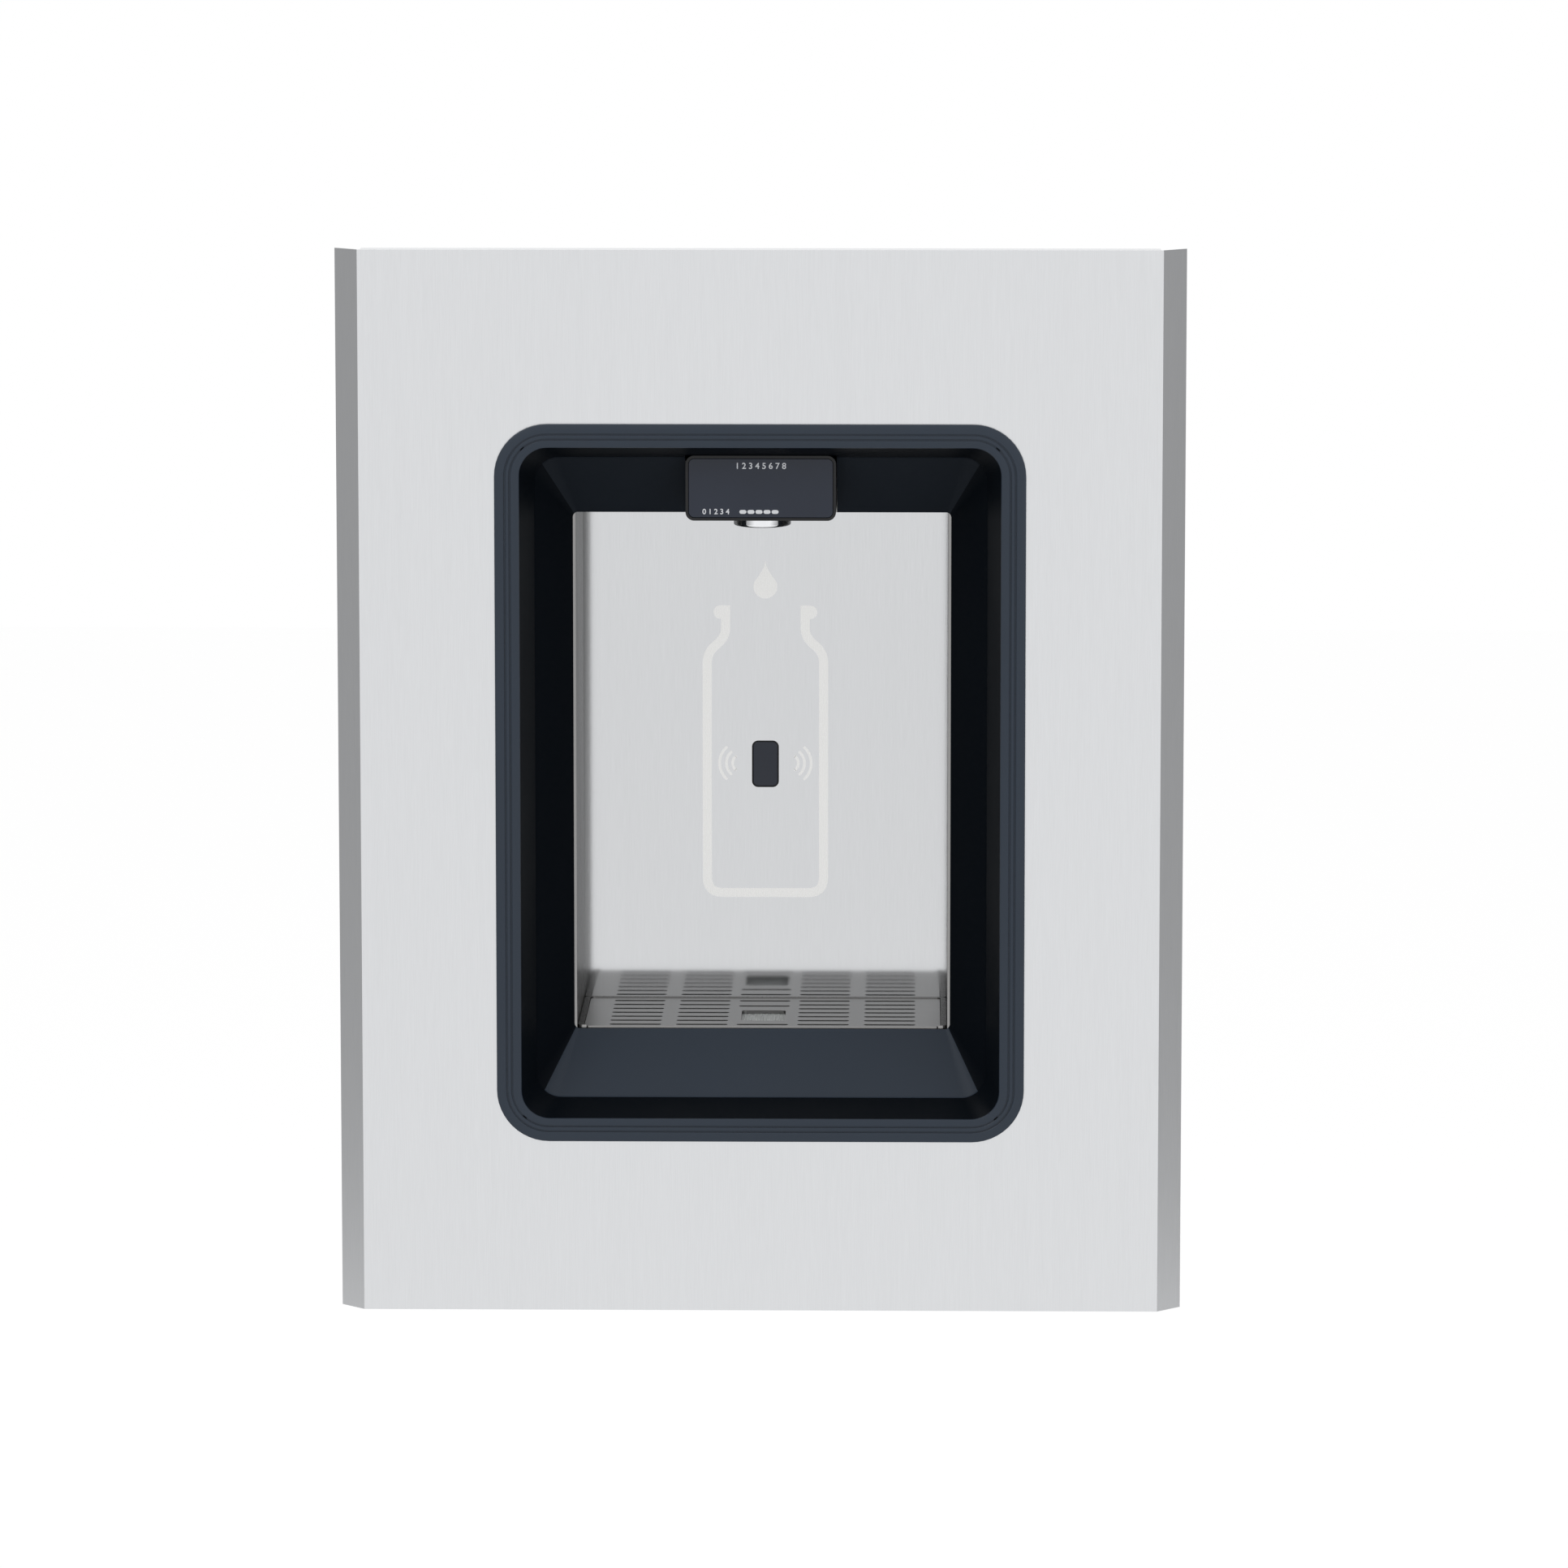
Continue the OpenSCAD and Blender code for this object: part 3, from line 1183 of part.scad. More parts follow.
module cable_gland() color(black_c) difference() {
    union() {
        rod_z([gland_x, gland_y, -box_h / 2 - gland_l / 2], gland_l, gland_body_r);
        rod_z([gland_x, gland_y, -box_h / 2 - gland_nut_h], gland_nut_h, gland_r);
        rod_z([gland_x, gland_y, -inner_z], gland_nut_h, gland_r, $fn = 6);
    }
    rod_z([gland_x, gland_y, -box_h / 2 - gland_l / 2 - over], gland_l + 2 * over, gland_bore_r);
}

module internal_cables() color(rubber_c) {
    mains_z0 = -box_h / 2 + gland_l / 2 + fit;
    rod_z([gland_x, gland_y, mains_z0], psu_z0 - mains_z0, mains_r);
    rod_z([gland_x, gland_y, psu_z0 + psu_h], ctrl_z0 - psu_z0 - psu_h + ctrl_wall, lead_r);
    run([
        [sensor_case_w / 2 - 2 * sensor_wall, sensor_lead_y, sensor_z],
        [sensor_lead_x, sensor_lead_y, sensor_z],
        [sensor_lead_x, sensor_lead_y, ctrl_z0 + ctrl_wall]
    ], lead_bend, lead_r);
    run([
        [display_lead_x, mouth_y - display_lead_back, display_z1 - display_wall - lens_ledge],
        [display_lead_x, mouth_y - display_lead_back, display_lead_z],
        [ctrl_lead_x, mouth_y - display_lead_back, display_lead_z],
        [ctrl_lead_x, ctrl_y0 + ctrl_lid_t, display_lead_z]
    ], lead_bend, lead_r);
    run([
        [sol_x, nozzle_y + coil_w / 2, coil_lead_z],
        [sol_x, coil_lead_y, coil_lead_z],
        [ctrl_x0 + ctrl_wall, coil_lead_y, coil_lead_z]
    ], lead_bend, lead_r);
}

wall_box();
box_floor();
hanger_rail();
plate_hooks();
lower_bracket();
plate_screws();
face_plate();
bezel();
bezel_retainer();
bezel_screws();
niche_liner();
niche_straps();
strap_screws();
back_panel();
back_panel_rivets();
drain_basin();
drip_grille();
splash_screen();
drain_strainer();
drain_gasket();
drain_locknut();
slip_nut();
drain_tailpiece();
display_housing();
display_lens();
display_board();
digit_module();
nozzle_body();
nozzle_ring();
flow_straightener();
sensor_window();
sensor_housing();
sensor_board();
sensor_screws();
inlet_stub();
bulkhead_nut();
stop_valve_body();
valve_ball();
stop_valve_handle();
supply_tube();
filter_bracket();
filter_head();
filter_cartridge();
filter_seal();
filtered_tube();
flow_regulator();
regulator_knob();
riser_tube();
solenoid_valve();
solenoid_coil();
solenoid_plunger();
valve_seal();
plunger_spring();
nozzle_tube();
control_box();
control_box_lid();
control_board();
power_supply();
cable_gland();
internal_cables();
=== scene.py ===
"""Looks for a recessed bottle filling station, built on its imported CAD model."""

import json
import math

import bmesh
import bpy
from bpy.props import FloatProperty, FloatVectorProperty, IntProperty, PointerProperty
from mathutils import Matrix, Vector


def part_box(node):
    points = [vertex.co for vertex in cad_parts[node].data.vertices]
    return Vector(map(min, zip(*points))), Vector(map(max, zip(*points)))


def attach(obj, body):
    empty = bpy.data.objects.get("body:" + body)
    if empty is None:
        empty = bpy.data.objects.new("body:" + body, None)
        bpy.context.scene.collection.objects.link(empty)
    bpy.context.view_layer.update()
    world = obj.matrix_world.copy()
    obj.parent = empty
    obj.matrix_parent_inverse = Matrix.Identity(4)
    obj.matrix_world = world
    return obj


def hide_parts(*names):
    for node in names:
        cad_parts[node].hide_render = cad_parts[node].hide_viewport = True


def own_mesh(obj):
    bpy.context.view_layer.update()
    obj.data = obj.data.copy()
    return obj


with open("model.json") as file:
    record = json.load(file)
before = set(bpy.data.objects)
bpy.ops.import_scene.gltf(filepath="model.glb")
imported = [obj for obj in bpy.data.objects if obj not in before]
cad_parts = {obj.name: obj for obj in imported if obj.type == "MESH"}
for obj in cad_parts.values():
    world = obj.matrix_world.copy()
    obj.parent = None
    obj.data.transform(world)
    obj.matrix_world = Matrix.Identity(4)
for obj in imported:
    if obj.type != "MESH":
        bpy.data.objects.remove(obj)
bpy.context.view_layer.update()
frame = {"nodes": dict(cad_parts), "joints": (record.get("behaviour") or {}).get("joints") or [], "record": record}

bl_info = {
    "name": "Bottle filling station",
    "version": (1, 0, 0),
    "blender": (4, 5, 0),
    "location": "3D View > Sidebar > Station",
    "description": "Dresses the CAD model of a recessed bottle filling station with shapes and finishes",
    "category": "Object",
}

MM = 0.001
UP = Vector((0, 0, 1))
FRONT = Vector((0, -1, 0))

# Widths, heights and corner radii of the throat, and the wall and posts of the bezel
BEZEL_RADIUS = 30 * MM
LIP = (274 * MM, 386.5 * MM, 16 * MM)
STEEP_END = (259 * MM, 371.5 * MM, 14 * MM)
THROAT_END = (218 * MM, 301.5 * MM, 3 * MM)
STEEP_RUN = 25 * MM
THROAT_WALL = 2.2 * MM
SIDE_POST_X = 142.7 * MM
SIDE_POSTS_Z = (-152 * MM, -62 * MM, 62 * MM, 152 * MM)
END_POST_Z = 198.95 * MM
END_POSTS_X = (-70 * MM, 70 * MM)
POST_START = 0.4 * MM

# Ears, knock-outs and welds of the wall box
EAR_WIDTH = 25 * MM
KNOCKOUT_Y = 0.12
EAR_WELD_Y = 0.009
BACK_WELD_Y = 0.163

# Places taken from the CAD nodes, in metres
PLATE_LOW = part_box("face_plate")[0]
BEZEL_LOW, BEZEL_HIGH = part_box("bezel")
LINER_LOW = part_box("niche_liner")[0]
BACK_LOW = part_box("back_panel")[0]
SCREEN_LOW, SCREEN_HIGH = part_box("splash_screen")
DISPLAY_LOW, DISPLAY_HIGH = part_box("display_housing")
LENS_LOW, LENS_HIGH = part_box("display_lens")
RING_LOW, RING_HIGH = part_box("nozzle_ring")
WINDOW_LOW, WINDOW_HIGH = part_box("sensor_window")
WALL_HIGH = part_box("wall_box")[1]
SPRING_LOW, SPRING_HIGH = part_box("plunger_spring")
FILTER_LOW, FILTER_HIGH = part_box("filter_cartridge")
CONTROL_LOW, CONTROL_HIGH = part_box("control_box_lid")
SUPPLY_LOW, SUPPLY_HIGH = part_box("power_supply")


def length(name, text, default):
    """A size that a user may change, in metres"""
    return FloatProperty(name=name, description=text, default=default, min=0, unit="LENGTH",
                         subtype="DISTANCE", precision=5)


def colour(name, text, default):
    """A colour that a user may change"""
    return FloatVectorProperty(name=name, description=text, default=default, size=3, min=0, max=1,
                               subtype="COLOR")


class StationSizes(bpy.types.PropertyGroup):
    """Sizes of the shaped pieces"""
    edge: length("Sheet edge", "Rounding of the edges of the sheet steel", 0.0003)
    band_edge: length("Bezel edge", "Rounding of the edges of the bezel", 0.0006)
    groove_width: length("Groove width", "Width of the two ring grooves of the bezel", 0.0009)
    groove_depth: length("Groove depth", "Depth of the two ring grooves of the bezel", 0.0008)
    outer_groove: length("Outer groove", "Distance of the outer groove from the edge of the bezel", 0.0054)
    inner_groove: length("Inner groove", "Distance of the inner groove from the edge of the bezel", 0.0083)
    wire_pitch: length("Wire pitch", "Distance between two wires of the splash screen", 0.0017)
    wire_radius: length("Wire radius", "Radius of a wire of the splash screen", 0.00024)
    screen_border: length("Screen border", "Width of the frame of the splash screen", 0.003)
    print_thickness: length("Print thickness", "Thickness of the frosted symbols on the back wall", 0.00006)
    print_line: length("Bottle line", "Width of the line of the bottle symbol", 0.0054)
    wave_line: length("Wave line", "Width of the lines beside the sensor", 0.0016)
    spring_turns: IntProperty(name="Spring turns", description="Turns of the return spring", default=9,
                              min=3, max=20)
    knockout_radius: length("Knock-out radius", "Radius of a knock-out in the wall box", 0.011)


class StationColours(bpy.types.PropertyGroup):
    """Colours of the finishes"""
    plate: colour("Face steel", "Brushed steel of the face plate and the back wall", (0.72, 0.73, 0.745))
    # Painted shade: the niche steel is the face steel made much darker, for the shade inside the recess
    liner: colour("Niche steel", "Darker steel of the sides of the niche", (0.30, 0.297, 0.295))
    # Painted shade: the grille steel is made darker to stand for the dark surroundings it reflects at the bottom
    # of the niche
    grille: colour("Grille steel", "Steel of the drip grille", (0.28, 0.278, 0.275))
    slate: colour("Bezel", "Moulded frame", (0.023, 0.035, 0.054))
    black: colour("Black plastic", "Nozzle block, cases and knobs", (0.008, 0.0085, 0.01))
    lens: colour("Smoked lens", "Display lens and sensor window", (0.017, 0.024, 0.043))
    galvanised: colour("Galvanised steel", "Wall box, rails and straps", (0.52, 0.54, 0.56))
    brass: colour("Brass", "Valve bodies", (0.56, 0.37, 0.13))
    rubber: colour("Rubber", "Seals and leads", (0.013, 0.013, 0.014))
    white: colour("White plastic", "Tubes and filter cartridge", (0.78, 0.79, 0.80))
    blue: colour("Blue plastic", "Lever of the stop valve", (0.03, 0.13, 0.40))
    board: colour("Circuit board", "Boards behind the display and the sensor", (0.02, 0.13, 0.05))
    prints: colour("Frosted print", "Symbols on the back wall", (0.80, 0.80, 0.79))
    marks: colour("Display marks", "Digits and bars on the display", (0.86, 0.88, 0.92))


# Shader maths

class Signal:
    """An output socket. Sums and products of signals and numbers add Math nodes."""

    def __init__(self, finish, socket):
        self.finish = finish
        self.socket = socket

    def maths(self, operation, *values):
        return self.finish.node("ShaderNodeMath", {"operation": operation}, values)

    def __add__(self, other):
        return self.maths("ADD", self, other)

    def __sub__(self, other):
        return self.maths("SUBTRACT", self, other)

    def __mul__(self, other):
        return self.maths("MULTIPLY", self, other)

    def __rsub__(self, other):
        return self.maths("SUBTRACT", other, self)

    def __abs__(self):
        return self.maths("ABSOLUTE", self)

    __radd__ = __add__
    __rmul__ = __mul__


class Finish:
    """One material with a Principled shader"""

    def __init__(self, name, base, roughness, metallic=0.0, **sockets):
        self.material = bpy.data.materials.new(name)
        self.material.use_nodes = True
        self.tree = self.material.node_tree
        self.shader = self.tree.nodes["Principled BSDF"]
        self.base = tuple(base)
        self.shader.inputs["Base Color"].default_value = (*base, 1)
        self.shader.inputs["Roughness"].default_value = roughness
        self.shader.inputs["Metallic"].default_value = metallic
        for socket, value in sockets.items():
            self.shader.inputs[socket.replace("_", " ")].default_value = value
        self.material.diffuse_color = (*base, 1)
        self.place = self.node("ShaderNodeTexCoord", output="Object")

    def node(self, kind, settings=None, values=(), output=0):
        """Adds a node with its settings and the values or links of its inputs, and returns an output"""
        made = self.tree.nodes.new(kind)
        for setting, value in (settings or {}).items():
            setattr(made, setting, value)
        pairs = values.items() if isinstance(values, dict) else enumerate(values)
        for key, value in pairs:
            if isinstance(value, Signal):
                self.tree.links.new(value.socket, made.inputs[key])
            else:
                made.inputs[key].default_value = value
        return Signal(self, made.outputs[output])

    def stretched(self, scale):
        """Object coordinates scaled per axis"""
        return self.node("ShaderNodeMapping", {}, {"Vector": self.place, "Scale": scale})

    def noise(self, scale, detail=2.0, roughness=0.5):
        """Noise between 0 and 1, with its cells per metre on each axis"""
        return self.node("ShaderNodeTexNoise", {}, {
            "Vector": self.stretched(scale), "Scale": 1.0, "Detail": detail, "Roughness": roughness})

    def ramp(self, value, low, high):
        """Black below the low value and white above the high one"""
        ramp = self.node("ShaderNodeValToRGB", {}, {"Fac": value})
        for stop, place in zip(ramp.socket.node.color_ramp.elements, (low, high)):
            stop.position = place
        return ramp

    def shade(self, factor, dark, light):
        """Base colour that goes from a darker to a lighter tone"""
        low, high = [(*(min(1, c * share) for c in self.base), 1) for share in (dark, light)]
        self.feed("Base Color", self.node(
            "ShaderNodeMix", {"data_type": "RGBA"}, {0: factor, 6: low, 7: high}, output=2))

    def feed(self, socket, signal):
        self.tree.links.new(signal.socket, self.shader.inputs[socket])

    def bump(self, height, depth, strength):
        self.feed("Normal", self.node("ShaderNodeBump", {}, {
            "Height": height, "Distance": depth, "Strength": strength}))


def brushed(name, base, scale, roughness=0.3, spread=0.06, rim=1.0, contrast=0.04, depth=0.000006):
    """Stainless steel with fine lines; the scale is in lines per metre along each axis"""
    finish = Finish(name, base, roughness, 1.0, Specular_Tint=(rim, rim, rim, 1))
    lines = finish.noise(scale, detail=4, roughness=0.65)
    broad = finish.noise(tuple(s / 10 for s in scale), detail=2)
    grain = lines * 0.85 + broad * 0.15
    finish.shade(finish.ramp(grain, 0.30, 0.70), 1 - contrast, 1 + contrast / 2)
    finish.feed("Roughness", (grain - 0.5) * spread * 2 + roughness)
    finish.bump(lines, depth, 0.5)
    return finish.material


def moulded(name, base, roughness=0.42, specular=0.5, grain=2600, depth=0.00002):
    """Plastic with the fine even grain of its mould and slight changes of gloss"""
    finish = Finish(name, base, roughness, Specular_IOR_Level=specular)
    fine = finish.noise((grain,) * 3, detail=2)
    cloud = finish.noise((22, 22, 9), detail=3)
    finish.shade(fine * 0.35 + cloud * 0.65, 0.90, 1.12)
    finish.feed("Roughness", (cloud - 0.5) * 0.16 + roughness)
    finish.bump(fine, depth, 0.6)
    return finish.material


def galvanised(name, base):
    """Zinc coat with spangles of several greys"""
    finish = Finish(name, base, 0.42, 0.85)
    cells = finish.node("ShaderNodeTexVoronoi", {"feature": "F1"}, {
        "Vector": finish.stretched((150, 150, 150)), "Scale": 1.0, "Randomness": 1.0}, output="Color")
    tone = finish.node("ShaderNodeSeparateColor", {}, (cells,), output=0)
    cloud = finish.noise((40, 40, 40), detail=3)
    finish.shade(tone * 0.6 + cloud * 0.4, 0.80, 1.14)
    finish.feed("Roughness", tone * 0.14 + cloud * 0.10 + 0.30)
    finish.bump(finish.noise((900, 900, 900), detail=2), 0.00002, 0.4)
    return finish.material


def polished(name, base, roughness=0.07, depth=0.000004):
    """Chrome or turned metal with faint wipe marks"""
    finish = Finish(name, base, roughness, 1.0)
    wipes = finish.noise((60, 60, 240), detail=3)
    finish.shade(wipes, 0.96, 1.03)
    finish.feed("Roughness", wipes * 0.06 + roughness)
    finish.bump(finish.noise((1800, 1800, 300), detail=2), depth, 0.3)
    return finish.material


def turned_brass(name, base):
    """Machined brass, a little dull in patches"""
    finish = Finish(name, base, 0.3, 1.0)
    rings = finish.noise((200, 200, 3200), detail=2)
    dull = finish.noise((45, 45, 45), detail=4)
    finish.shade(rings * 0.4 + dull * 0.6, 0.78, 1.12)
    finish.feed("Roughness", dull * 0.22 + 0.2)
    finish.bump(rings, 0.00003, 0.4)
    return finish.material


def smoked(name, base):
    """Dark glossy lens"""
    finish = Finish(name, base, 0.16, Coat_Weight=0.15, Coat_Roughness=0.04, Specular_IOR_Level=0.3)
    haze = finish.noise((30, 30, 30), detail=3)
    finish.shade(haze, 0.88, 1.14)
    finish.feed("Roughness", haze * 0.1 + 0.12)
    return finish.material


def rubbery(name, base):
    finish = Finish(name, base, 0.7)
    fine = finish.noise((1500, 1500, 1500), detail=3)
    finish.shade(fine, 0.8, 1.3)
    finish.feed("Roughness", fine * 0.2 + 0.6)
    finish.bump(fine, 0.00004, 0.5)
    return finish.material


def circuit(name, base):
    """Green board with rows of pads and darker traces"""
    finish = Finish(name, base, 0.35, Coat_Weight=0.4, Coat_Roughness=0.15)
    split = finish.node("ShaderNodeVectorMath", {"operation": "MULTIPLY"}, (finish.place, (1, 0, 1)))
    pads = finish.node("ShaderNodeTexBrick", {"offset": 0.5}, {
        "Vector": finish.node("ShaderNodeMapping", {}, {
            "Vector": split, "Rotation": (math.pi / 2, 0, 0), "Scale": (160, 160, 160)}),
        "Color1": (*base, 1), "Color2": (base[0] * 1.5, base[1] * 1.35, base[2] * 1.5, 1),
        "Mortar": (0.28, 0.24, 0.10, 1), "Scale": 1.0, "Mortar Size": 0.03})
    finish.feed("Base Color", pads)
    return finish.material


def frosted(name, base):
    """Etched symbol, a little lighter than the steel round it"""
    finish = Finish(name, base, 0.3, 0.9)
    grain = finish.noise((1400, 1400, 30), detail=3)
    finish.shade(grain, 0.97, 1.03)
    finish.feed("Roughness", grain * 0.1 + 0.22)
    return finish.material


def painted_marks(name, base):
    finish = Finish(name, base, 0.45)
    finish.shade(finish.noise((900, 900, 900), detail=2), 0.94, 1.03)
    return finish.material


FINISHES = {}


def scaled(base, share):
    """A colour made darker"""
    return tuple(v * share for v in base)


# Mesh tools

def rounded_rectangle(width, height, radius, steps):
    """Points of a rounded rectangle round its middle, anticlockwise"""
    radius = min(radius, width / 2, height / 2)
    points = []
    for quarter, (sx, sz) in enumerate(((1, 1), (-1, 1), (-1, -1), (1, -1))):
        for i in range(steps + 1):
            angle = math.radians(90 * (quarter + i / steps))
            points.append((sx * (width / 2 - radius) + radius * math.cos(angle),
                           sz * (height / 2 - radius) + radius * math.sin(angle)))
    return points


def key_of(point):
    return tuple(round(c, 8) for c in point)


def loft(bm, rings, ring_closed=True, loop=False, capped=False):
    """Extrudes the first ring of points through the others, one extrusion for each ring"""
    verts = [bm.verts.new(p) for p in rings[0]]
    edges = [bm.edges.new((a, b)) for a, b in zip(verts, verts[1:])]
    if ring_closed:
        edges.append(bm.edges.new((verts[-1], verts[0])))
    first = list(edges)
    for here, there in zip(rings, rings[1:]):
        order = {key_of(p): i for i, p in enumerate(here)}
        made = bmesh.ops.extrude_edge_only(bm, edges=edges)["geom"]
        edges = [g for g in made if isinstance(g, bmesh.types.BMEdge)]
        for vert in (g for g in made if isinstance(g, bmesh.types.BMVert)):
            vert.co = there[order[key_of(vert.co)]]
    if loop:
        bmesh.ops.bridge_loops(bm, edges=first + edges)
    if capped:
        bmesh.ops.contextual_create(bm, geom=first)
        bmesh.ops.contextual_create(bm, geom=edges)
    return bm


def rounded_ring(width, height, radius, depth, steps=12, centre=(0, 0)):
    """One ring of a loft that faces the front, at a depth along Y"""
    outline = rounded_rectangle(width, height, radius, steps)
    return [Vector((x + centre[0], depth, z + centre[1])) for x, z in outline]


def mesh_of(name, bm):
    """Turns a bmesh into a mesh and frees it"""
    mesh = bpy.data.meshes.new(name)
    bm.to_mesh(mesh)
    bm.free()
    return mesh


def placed(name, data):
    """A new object in the scene"""
    made = bpy.data.objects.new(name, data)
    bpy.context.scene.collection.objects.link(made)
    return made


def evaluated_mesh(made):
    """The mesh of an object with its modifiers or its text applied"""
    bpy.context.view_layer.update()
    return bpy.data.meshes.new_from_object(made.evaluated_get(bpy.context.evaluated_depsgraph_get()))


def piece(name, bm, slot, finish=None, replaces=(), smooth=35, body="station"):
    """Makes an object of a bmesh, with its finish, and lets it ride on a body"""
    bmesh.ops.remove_doubles(bm, verts=bm.verts, dist=1e-7)
    bmesh.ops.recalc_face_normals(bm, faces=bm.faces)
    return dressed(name, mesh_of(name, bm), body, slot, finish, replaces, smooth)


def dressed(name, mesh, body, slot, finish=None, replaces=(), smooth=35):
    """Links a mesh as a piece"""
    mesh.materials.append(FINISHES[finish or slot])
    mesh.shade_smooth()
    mesh.set_sharp_from_angle(angle=math.radians(smooth))
    made = placed(name, mesh)
    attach(made, body)
    if replaces:
        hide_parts(*replaces)
    return made


def softened(node, width, segments=2, angle=35):
    """A copy of a CAD node with rounded edges, which stands for it"""
    source = frame["nodes"][node]
    bm = bmesh.new()
    bm.from_mesh(source.data)
    bmesh.ops.remove_doubles(bm, verts=bm.verts, dist=2e-6)
    bmesh.ops.dissolve_limit(bm, angle_limit=math.radians(0.5), verts=bm.verts, edges=bm.edges)
    mesh = mesh_of(node, bm)
    made = dressed(node + "_skin", mesh, BODY_OF[node], SLOT_OF[node], replaces=(node,), smooth=angle)
    bevel = made.modifiers.new("Rounding", "BEVEL")
    bevel.width = width
    bevel.segments = segments
    bevel.limit_method = "ANGLE"
    bevel.angle_limit = math.radians(angle)
    bevel.harden_normals = True
    return made


def soften(**widths):
    """Rounds the edges of several CAD nodes by widths in millimetres"""
    for node, width in widths.items():
        softened(node, width * MM)


def turned(bm, profile, centre, axis=UP, steps=48):
    """Spins a profile of radius and height round an axis through a point"""
    axis = Vector(axis).normalized()
    turn = UP.rotation_difference(axis).to_matrix()
    verts = [bm.verts.new(turn @ Vector((r, 0, h)) + Vector(centre)) for r, h in profile]
    edges = [bm.edges.new(pair) for pair in zip(verts, verts[1:])]
    bmesh.ops.spin(bm, geom=verts + edges, cent=centre, axis=axis, angle=2 * math.pi, steps=steps,
                   use_merge=True)
    return bm


def thickened(bm, faces, offset):
    """Gives flat faces a thickness by extruding them"""
    made = bmesh.ops.extrude_face_region(bm, geom=faces)["geom"]
    bmesh.ops.translate(bm, vec=offset, verts=[g for g in made if isinstance(g, bmesh.types.BMVert)])


def round_end(station, half, steps, sign):
    """Stations that round the end of a stroke, from its tip inwards"""
    point, along, _ = station
    cap = []
    for i in range(steps):
        t = math.pi / 2 * i / steps
        spread = max(half * math.sin(t), half * 0.05)
        cap.append((point + along * half * (1 - math.cos(t)) * sign, along, spread))
    return cap + [(point + along * half * sign, along, half)]


def stroke(bm, points, half, depth, thickness, round_ends=(True, True), steps=5):
    """A flat line along points in the plane of the back wall, with a thickness towards the front"""
    points = [Vector(p) for p in points]
    stations = []
    for i, point in enumerate(points):
        before = (point - points[i - 1]).normalized() if i else None
        after = (points[i + 1] - point).normalized() if i + 1 < len(points) else None
        along = ((before or after) + (after or before)).normalized()
        spread = half / max(0.5, along.dot(after or before))
        stations.append((point, along, spread))
    if round_ends[0]:
        stations = round_end(stations[0], half, steps, 1) + stations[1:]
    if round_ends[1]:
        stations = stations[:-1] + round_end(stations[-1], half, steps, -1)[::-1]
    rings = []
    for point, along, spread in stations:
        side = Vector((-along.y, along.x)) * spread
        rings.append([Vector((q.x, depth, q.y)) for q in (point + side, point - side)])
    before = set(bm.faces)
    loft(bm, rings, ring_closed=False)
    thickened(bm, [f for f in bm.faces if f not in before], FRONT * thickness)


def filleted(points, radius, steps=6):
    """A polyline whose inner corners are rounded"""
    points = [Vector(p) for p in points]
    path = [points[0]]
    for a, b, c in zip(points, points[1:], points[2:]):
        start = b + (a - b).normalized() * min(radius, (a - b).length * 0.49)
        end = b + (c - b).normalized() * min(radius, (c - b).length * 0.49)
        for i in range(steps + 1):
            t = i / steps
            path.append(start * (1 - t) ** 2 + b * 2 * t * (1 - t) + end * t ** 2)
    return path + [points[-1]]


BODY_OF = {node: body for body, nodes in frame["record"]["behaviour"]["bodies"].items() for node in nodes}
SLOT_OF = {}


class StationOperator(bpy.types.Operator):
    """Common part of the operators"""
    bl_options = {"REGISTER", "UNDO"}

    @property
    def sizes(self):
        return bpy.context.scene.station_sizes

    @property
    def colours(self):
        return bpy.context.scene.station_colours

    def execute(self, context):
        self.build()
        return {"FINISHED"}


class STATION_OT_finishes(StationOperator):
    """Makes the materials and gives them to the CAD nodes"""
    bl_idname = "station.finishes"
    bl_label = "Finishes"

    def build(self):
        c = self.colours
        table = {
            "galvanised_steel": (galvanised, c.galvanised),
            "brushed_plate": (brushed, c.plate, (2600, 2600, 60)),
            "brushed_wall": (brushed, scaled(c.plate, 0.9), (2600, 2600, 60), 0.08, 0.02),
            # Painted shade: the liner's dark colour and weak rim reflection stand for the shade inside the niche
            "brushed_liner": (brushed, c.liner, (2200, 2200, 50), 0.28, 0.06, 0.35),
            # Painted shade: the grille's dark colour stands for the dark surroundings it reflects
            "brushed_grille": (brushed, c.grille, (50, 2200, 2200), 0.3, 0.06, 0.8),
            "screen_wire": (polished, (0.72, 0.74, 0.73), 0.4),
            "screw_steel": (polished, (0.55, 0.56, 0.58), 0.24),
            "slate_plastic": (moulded, c.slate, 0.40, 0.35),
            # Slate darkened to painted shade: a darker copy for the top facet of the throat, and a near black copy
            # with weak specular for the steep wall and the side facets
            "dusk_plastic": (moulded, scaled(c.slate, 0.35), 0.45, 0.15),
            "shadow_plastic": (moulded, scaled(c.slate, 0.15), 0.5, 0.06),
            "black_plastic": (moulded, c.black, 0.38, 0.35),
            "smoked_lens": (smoked, c.lens),
            "chrome_brass": (polished, (0.86, 0.87, 0.89)),
            "core_steel": (polished, (0.62, 0.63, 0.65), 0.2),
            "valve_brass": (turned_brass, c.brass),
            "rubber": (rubbery, c.rubber),
            "white_plastic": (moulded, c.white, 0.35, 0.5, 900),
            "blue_plastic": (moulded, c.blue, 0.4, 0.5, 1200),
            "circuit_board": (circuit, tuple(c.board)),
            "grey_plastic": (moulded, (0.22, 0.23, 0.24), 0.45),
            "frosted_print": (frosted, c.prints),
            "display_marks": (painted_marks, c.marks),
        }
        for name, (make, *values) in table.items():
            FINISHES[name] = make(name, *values)
        for node, made in frame["nodes"].items():
            packed = made.material_slots[0].material.name.split(".")[0]
            SLOT_OF[node] = packed if packed in FINISHES else "galvanised_steel"
            for slot in made.material_slots:
                slot.material = FINISHES[SLOT_OF[node]]


